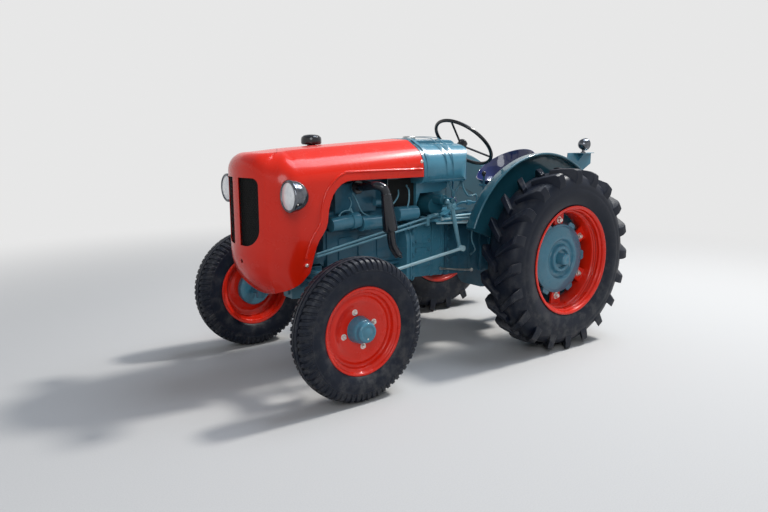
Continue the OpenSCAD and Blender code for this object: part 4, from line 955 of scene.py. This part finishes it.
for name, (finishName, size, routes) in pipes.items():
    forms = []
    for route in routes:
        path = smoothPath(route)
        forms.append(tube(path, size))
        for a, b in ((path[0], path[1]), (path[-1], path[-2])):
            ahead = (b - a).normalized()
            forms.append(turned([(0, 0), (size * 1.9, 0), (size * 1.9, size * 2.6), (size * 1.3, size * 3.2),
                (0, size * 3.2)], a - ahead * size * 0.5, ahead, 6))
    addPiece(name, joined(*forms), finishName, sharp=40.0)

# bolts of the castings: (ahead, lowest, highest, left) for the flanges, then rings round the axle trumpets
flangeBolts = [(851, 470, 740, 217), (851, 470, 740, -197), (551, 470, 740, 183), (551, 470, 740, -183),
    (164, 400, 700, 181), (164, 400, 700, -181)]
castingBolts = [boltForm((x - 9, y * 0.94, low + (high - low) * k / 4), (-1, 0, 0), 20)
    for x, low, high, y in flangeBolts for k in range(5)]
castingBolts += [boltForm((x, y, z), (0, 1, 0), 14)
    for x in (690, 790) for z, y in ((676, 176.5), (764, 176.5), (534, 174.5), (622, 174.5))]
for side in (1, -1):
    castingBolts.append(boltRing((0, side * 197.5, 550), (0, side, 0), 139, 10, 20, math.radians(18)))
    castingBolts.append(boltRing((0, side * 447.6, 550), (0, -side, 0), 101, 8, 18, math.radians(10)))
addPiece("castingBolts", joined(*castingBolts), "bluePaint", sharp=30.0)
addPiece("bonnetBolts", joined(*(boltForm((x, side * y, z), (0, side, 0), size) for side in (1, -1)
    for x, y, z, size in ((1596, 283, 647, 18), (838, 285.5, 1150, 12)))), "zincBolt", sharp=30.0)

# dark back plates fill the gap between each rear centre and its rim: painted shade where the floor would show through
shadeBackPlate = [(190, -60), (196, -56), (262, -56), (270, -60), (289.5, -60), (289.5, -63), (190, -63)]
for side in (1, -1):
    addPiece(sided("rearBackPlate", side), turned(shadeBackPlate, *wheelPlace(rearWheel, side), 96), "guardPaint",
        sided("rear_wheel", side), sharp=40.0)

# support of the front axle below the nose, with its pivot block
addPiece("axleSupport", sidePlate([(1400, 500), (1530, 488), (1566, 520), (1566, 600), (1400, 600)], -120, -240),
    "castingPaint", bevel=6.0, sharp=30.0)
addPiece("axlePivotBlock", joined(sidePlate([(1440, 412), (1552, 418), (1556, 500), (1440, 505)], -48, -96),
    turned([(0, 0), (26, 0), (26, 10), (22, 14), (0, 14)], (1555, 0, 458), (1, 0, 0), 32)), "paleBlue", bevel=5.0,
    sharp=30.0)


# lamp bracket: upright plate beside the mudguard with a gusset, and a small shelf under the lamp
def makeLampBracket():
    low, high = boxOf("lamp_bracket")
    lampLow, lampHigh = boxOf("work_lamp")
    upright = [(low.x + 2, high.z - 74), (low.x + 2, high.z), (high.x - 30, high.z), (high.x, high.z - 190),
        (high.x - 90, high.z - 170)]
    shelf = [(low.x + 2, low.y + 0.5), (low.x + 2, low.y + 30), (lampLow.x, high.y - 4), (lampHigh.x + 4, high.y - 4),
        (lampHigh.x + 30, low.y + 0.5)]
    gussetPlace = ((lampLow.x + lampHigh.x) / 2, low.y + 2, high.z - 2)
    addPiece("lampBracketPlates", joined(sidePlate(upright, low.y + 5, 4.5),
        plate(shelf, (0, 0, high.z - 4.5), (1, 0, 0), (0, 1, 0), 4),
        plate([(0, 0), (52, 0), (0, -60)], gussetPlace, (0, 1, 0), (0, 0, 1), 4)), "bluePaint", bevel=0.8,
        stands="lamp_bracket")


makeLampBracket()

# inner plates carry each mudguard down beside its tyre and hide the gap over the footplates
innerPlate = dict(centre=550, inner=170, outer=400, near=374, far=377.5, start=-62, sweep=156, steps=30)
for side in (1, -1):
    near, far = side * innerPlate["near"], side * innerPlate["far"]
    points = []
    for k in range(innerPlate["steps"] + 1):
        turn = math.radians(innerPlate["start"] + innerPlate["sweep"] * k / innerPlate["steps"])
        for radius, y in ((innerPlate["inner"], near), (innerPlate["outer"], near), (innerPlate["outer"], far),
                (innerPlate["inner"], far)):
            points.append(Vector((math.sin(turn) * radius, y, innerPlate["centre"] + math.cos(turn) * radius)))
    addPiece(sided("mudguardInner", side), barOf(points, 4), "guardPaint", sharp=40.0)

# pale strip on the footplate's edge as a painted highlight, near-black panel between engine and tank as painted shade,
# filler neck with its cap
neckPlace = (430, 100, 826)
# pale strip: painted highlight of the light on the footplate's edge
addPiece("footplatePaintedHighlight", sidePlate([(487, 779), (764, 795), (764, 805), (487, 790)], 334, 8), "palePaintAndSheen", bevel=1.0)
# near-black sheet: painted shade in the gap between engine and tank
addPiece("tankShadowPanel", sidePlate([(780, 880), (985, 895), (985, 1050), (780, 1050)], 168, 3), "paintedShadeBlack")
addPiece("fillerNeck", turned([(0, 0), (17, 0), (17, 62), (15, 66), (0, 66)], neckPlace, (0, 0, 1), 32), "bluePaint",
    sharp=40.0)
addPiece("fillerNeckCap", turned([(0, 64), (24, 64), (26, 66), (26, 70), (24, 73), (16, 74), (16, 80), (22, 82),
    (23, 85), (20, 88), (0, 90)], neckPlace, (0, 0, 1), 36), "seatBlack", sharp=40.0)


# bent drop arm with its boss, and the joint behind the drag link's end
def makeDropArm():
    low, high = boxOf("drop_arm")
    middle = (low.y + high.y) / 2
    pin, foot = Vector((666, middle, 894)), Vector((low.x + 19, middle, low.z + 19))
    path = smoothPath([pin + Vector((34, -12, 30)), pin + Vector((12, -2, 18)), pin + Vector((-4, 3, -16)),
        pin.lerp(foot, 0.5), foot + Vector((2, 0, 10))])
    boss = [(0, -15), (24, -15), (26, -13), (26, 13), (24, 15), (14, 15), (14, 20), (12, 22), (0, 22)]
    eye = [(0, -7), (17, -7), (19, -5), (19, 5), (17, 7), (0, 7)]
    addPiece("dropArmBent", joined(tube(path, (14.5, 11.0), 20), turned(boss, pin, (0, 1, 0), 36),
        turned(eye, foot, (0, 1, 0), 32)), "paleBlue", "drop_arm", sharp=45.0, stands="drop_arm")


makeDropArm()

# pair of side rods with the fitting that they end in
addPiece("sideRodPair", joined(
    tube([(1506, 235, 687), (744, 236, 824)], 6.8, 16), tube([(1506, 235, 672), (690, 236, 806)], 6.8, 16),
    turned([(0, 0), (9, 0), (13, 3), (14, 8), (14, 60), (11, 66), (8, 82), (0, 82)], (748, 236, 822), (-0.98, 0, 0.18),
        24),
    sidePlate([(742, 776), (764, 776), (764, 828), (742, 828)], 246, 60),
    turned([(0, 0), (13, 0), (14, 2), (14, 10), (0, 10)], (1500, 228, 680), (0, 1, 0), 24)), "paleBlue", bevel=0.6,
    stands="side_rods")

# studio in metres: pale floor and soft light from behind as in the photograph; the camera's place is a tractor point

print("tractor: studio, light and camera")
studio = dict(
    floorRadius=11.0, bend=3.0, wallTop=9.0, floorColour=(0.50, 0.50, 0.497), wallShade=0.80, evenFrom=2.4, evenTo=6.5,
    skyColour=(0.84, 0.90, 1.0), skyStrength=0.40, aim=(0.2, 0.0, 0.6),
)
# place, size, power and colour of each lamp
lamps = dict(
    keyLight=((-5.0, 1.1, 7.4), 1.1, 730.0, (1.0, 0.965, 0.91)),
    skyPanel=((-3.4, 0.9, 8.0), 5.4, 380.0, (0.78, 0.87, 1.0)),
    fillLight=((4.6, 6.2, 4.4), 4.0, 175.0, (0.95, 0.97, 1.0)),
)
photoCamera = dict(place=(3290.7, 3212.3, 1300.0), heading=53.24, tiltDown=10.22, roll=-0.154,
    focal=674.28, imageWidth=768.0, filmWidth=36.0)


# floor that bends up into a round backdrop
def makeFloor():
    reach, bend = studio["floorRadius"], studio["bend"]
    rows = [(reach * k / 10, 0.0) for k in range(11)]
    rows += [(reach + bend * math.sin(t), bend * (1 - math.cos(t))) for t in (math.pi * k / 24 for k in range(1, 13))]
    rows += [(reach + bend, bend + (studio["wallTop"] - bend) * k / 3) for k in range(1, 4)]
    points, faces = turned(rows, (0, 0, 0), (0, 0, 1), 96)
    mesh = bpy.data.meshes.new("floor")
    mesh.from_pydata(points, [], faces)
    mesh.shade_smooth()
    floor = addObject("floor", mesh)
    material, tree, surface = newMaterial("paleFloor")
    position, pale = objectPlace(tree), studio["floorColour"]
    speckle = rampOf(tree, noiseOf(tree, position, 180.0, 3.0, 0.6), 0.4, 0.65)
    feed(tree, surface, {"Base Color": mixColour(tree, speckle, pale, tuple(c * 0.95 for c in pale)),
        "Roughness": 0.9, "Specular IOR Level": 0.0})
    # further out the camera, and what shines, see one even pale tone
    ray = addNode(tree, "ShaderNodeLightPath").outputs
    distance = addNode(tree, "ShaderNodeVectorMath", {0: position}, operation="LENGTH").outputs["Value"]
    bent = mathNode(tree, "ADD", ray["Is Glossy Ray"], ray["Is Transmission Ray"])
    seen = mathNode(tree, "MULTIPLY", rampOf(tree, distance, studio["evenFrom"], studio["evenTo"]),
        mathNode(tree, "ADD", ray["Is Camera Ray"], bent, True))
    even = addNode(tree, "ShaderNodeEmission", dict(Color=(*[studio["wallShade"]] * 3, 1.0)))
    blend = addNode(tree, "ShaderNodeMixShader", {0: seen, 1: surface.outputs["BSDF"], 2: even.outputs["Emission"]})
    feed(tree, tree.nodes["Material Output"], dict(Surface=blend.outputs["Shader"]))
    mesh.materials.append(material)


def addLamp(name, place, size, power, colour):
    lamp = bpy.data.lights.new(name, "AREA")
    lamp.shape = "DISK"
    lamp.size = size
    lamp.energy = power
    lamp.color = colour
    holder = addObject(name, lamp)
    holder.location = place
    holder.rotation_euler = (Vector(studio["aim"]) - holder.location).to_track_quat("-Z", "Y").to_euler()


def makeStudio():
    makeFloor()
    for name, lamp in lamps.items():
        addLamp(name, *lamp)
    world = bpy.data.worlds.new("studioSky")
    bpy.context.scene.world = world
    world.use_nodes = True
    feed(world.node_tree, world.node_tree.nodes["Background"],
        dict(Color=(*studio["skyColour"], 1.0), Strength=studio["skyStrength"]))
    bpy.context.scene.view_settings.view_transform = "Standard"


def makeCamera():
    lens = bpy.data.cameras.new("photoCamera")
    lens.sensor_width = photoCamera["filmWidth"]
    lens.lens = photoCamera["focal"] / photoCamera["imageWidth"] * photoCamera["filmWidth"]
    lens.clip_end = 200.0
    holder = addObject("photoCamera", lens)
    turn = (Matrix.Rotation(math.radians(90.0 + photoCamera["heading"]), 4, "Z")
        @ Matrix.Rotation(math.radians(90.0 - photoCamera["tiltDown"]), 4, "X")
        @ Matrix.Rotation(math.radians(photoCamera["roll"]), 4, "Z"))
    holder.matrix_world = Matrix.Translation(toScene(photoCamera["place"])) @ turn
    bpy.context.scene.camera = holder


makeStudio()
makeCamera()

bpy.context.view_layer.update()
print("tractor: finished")
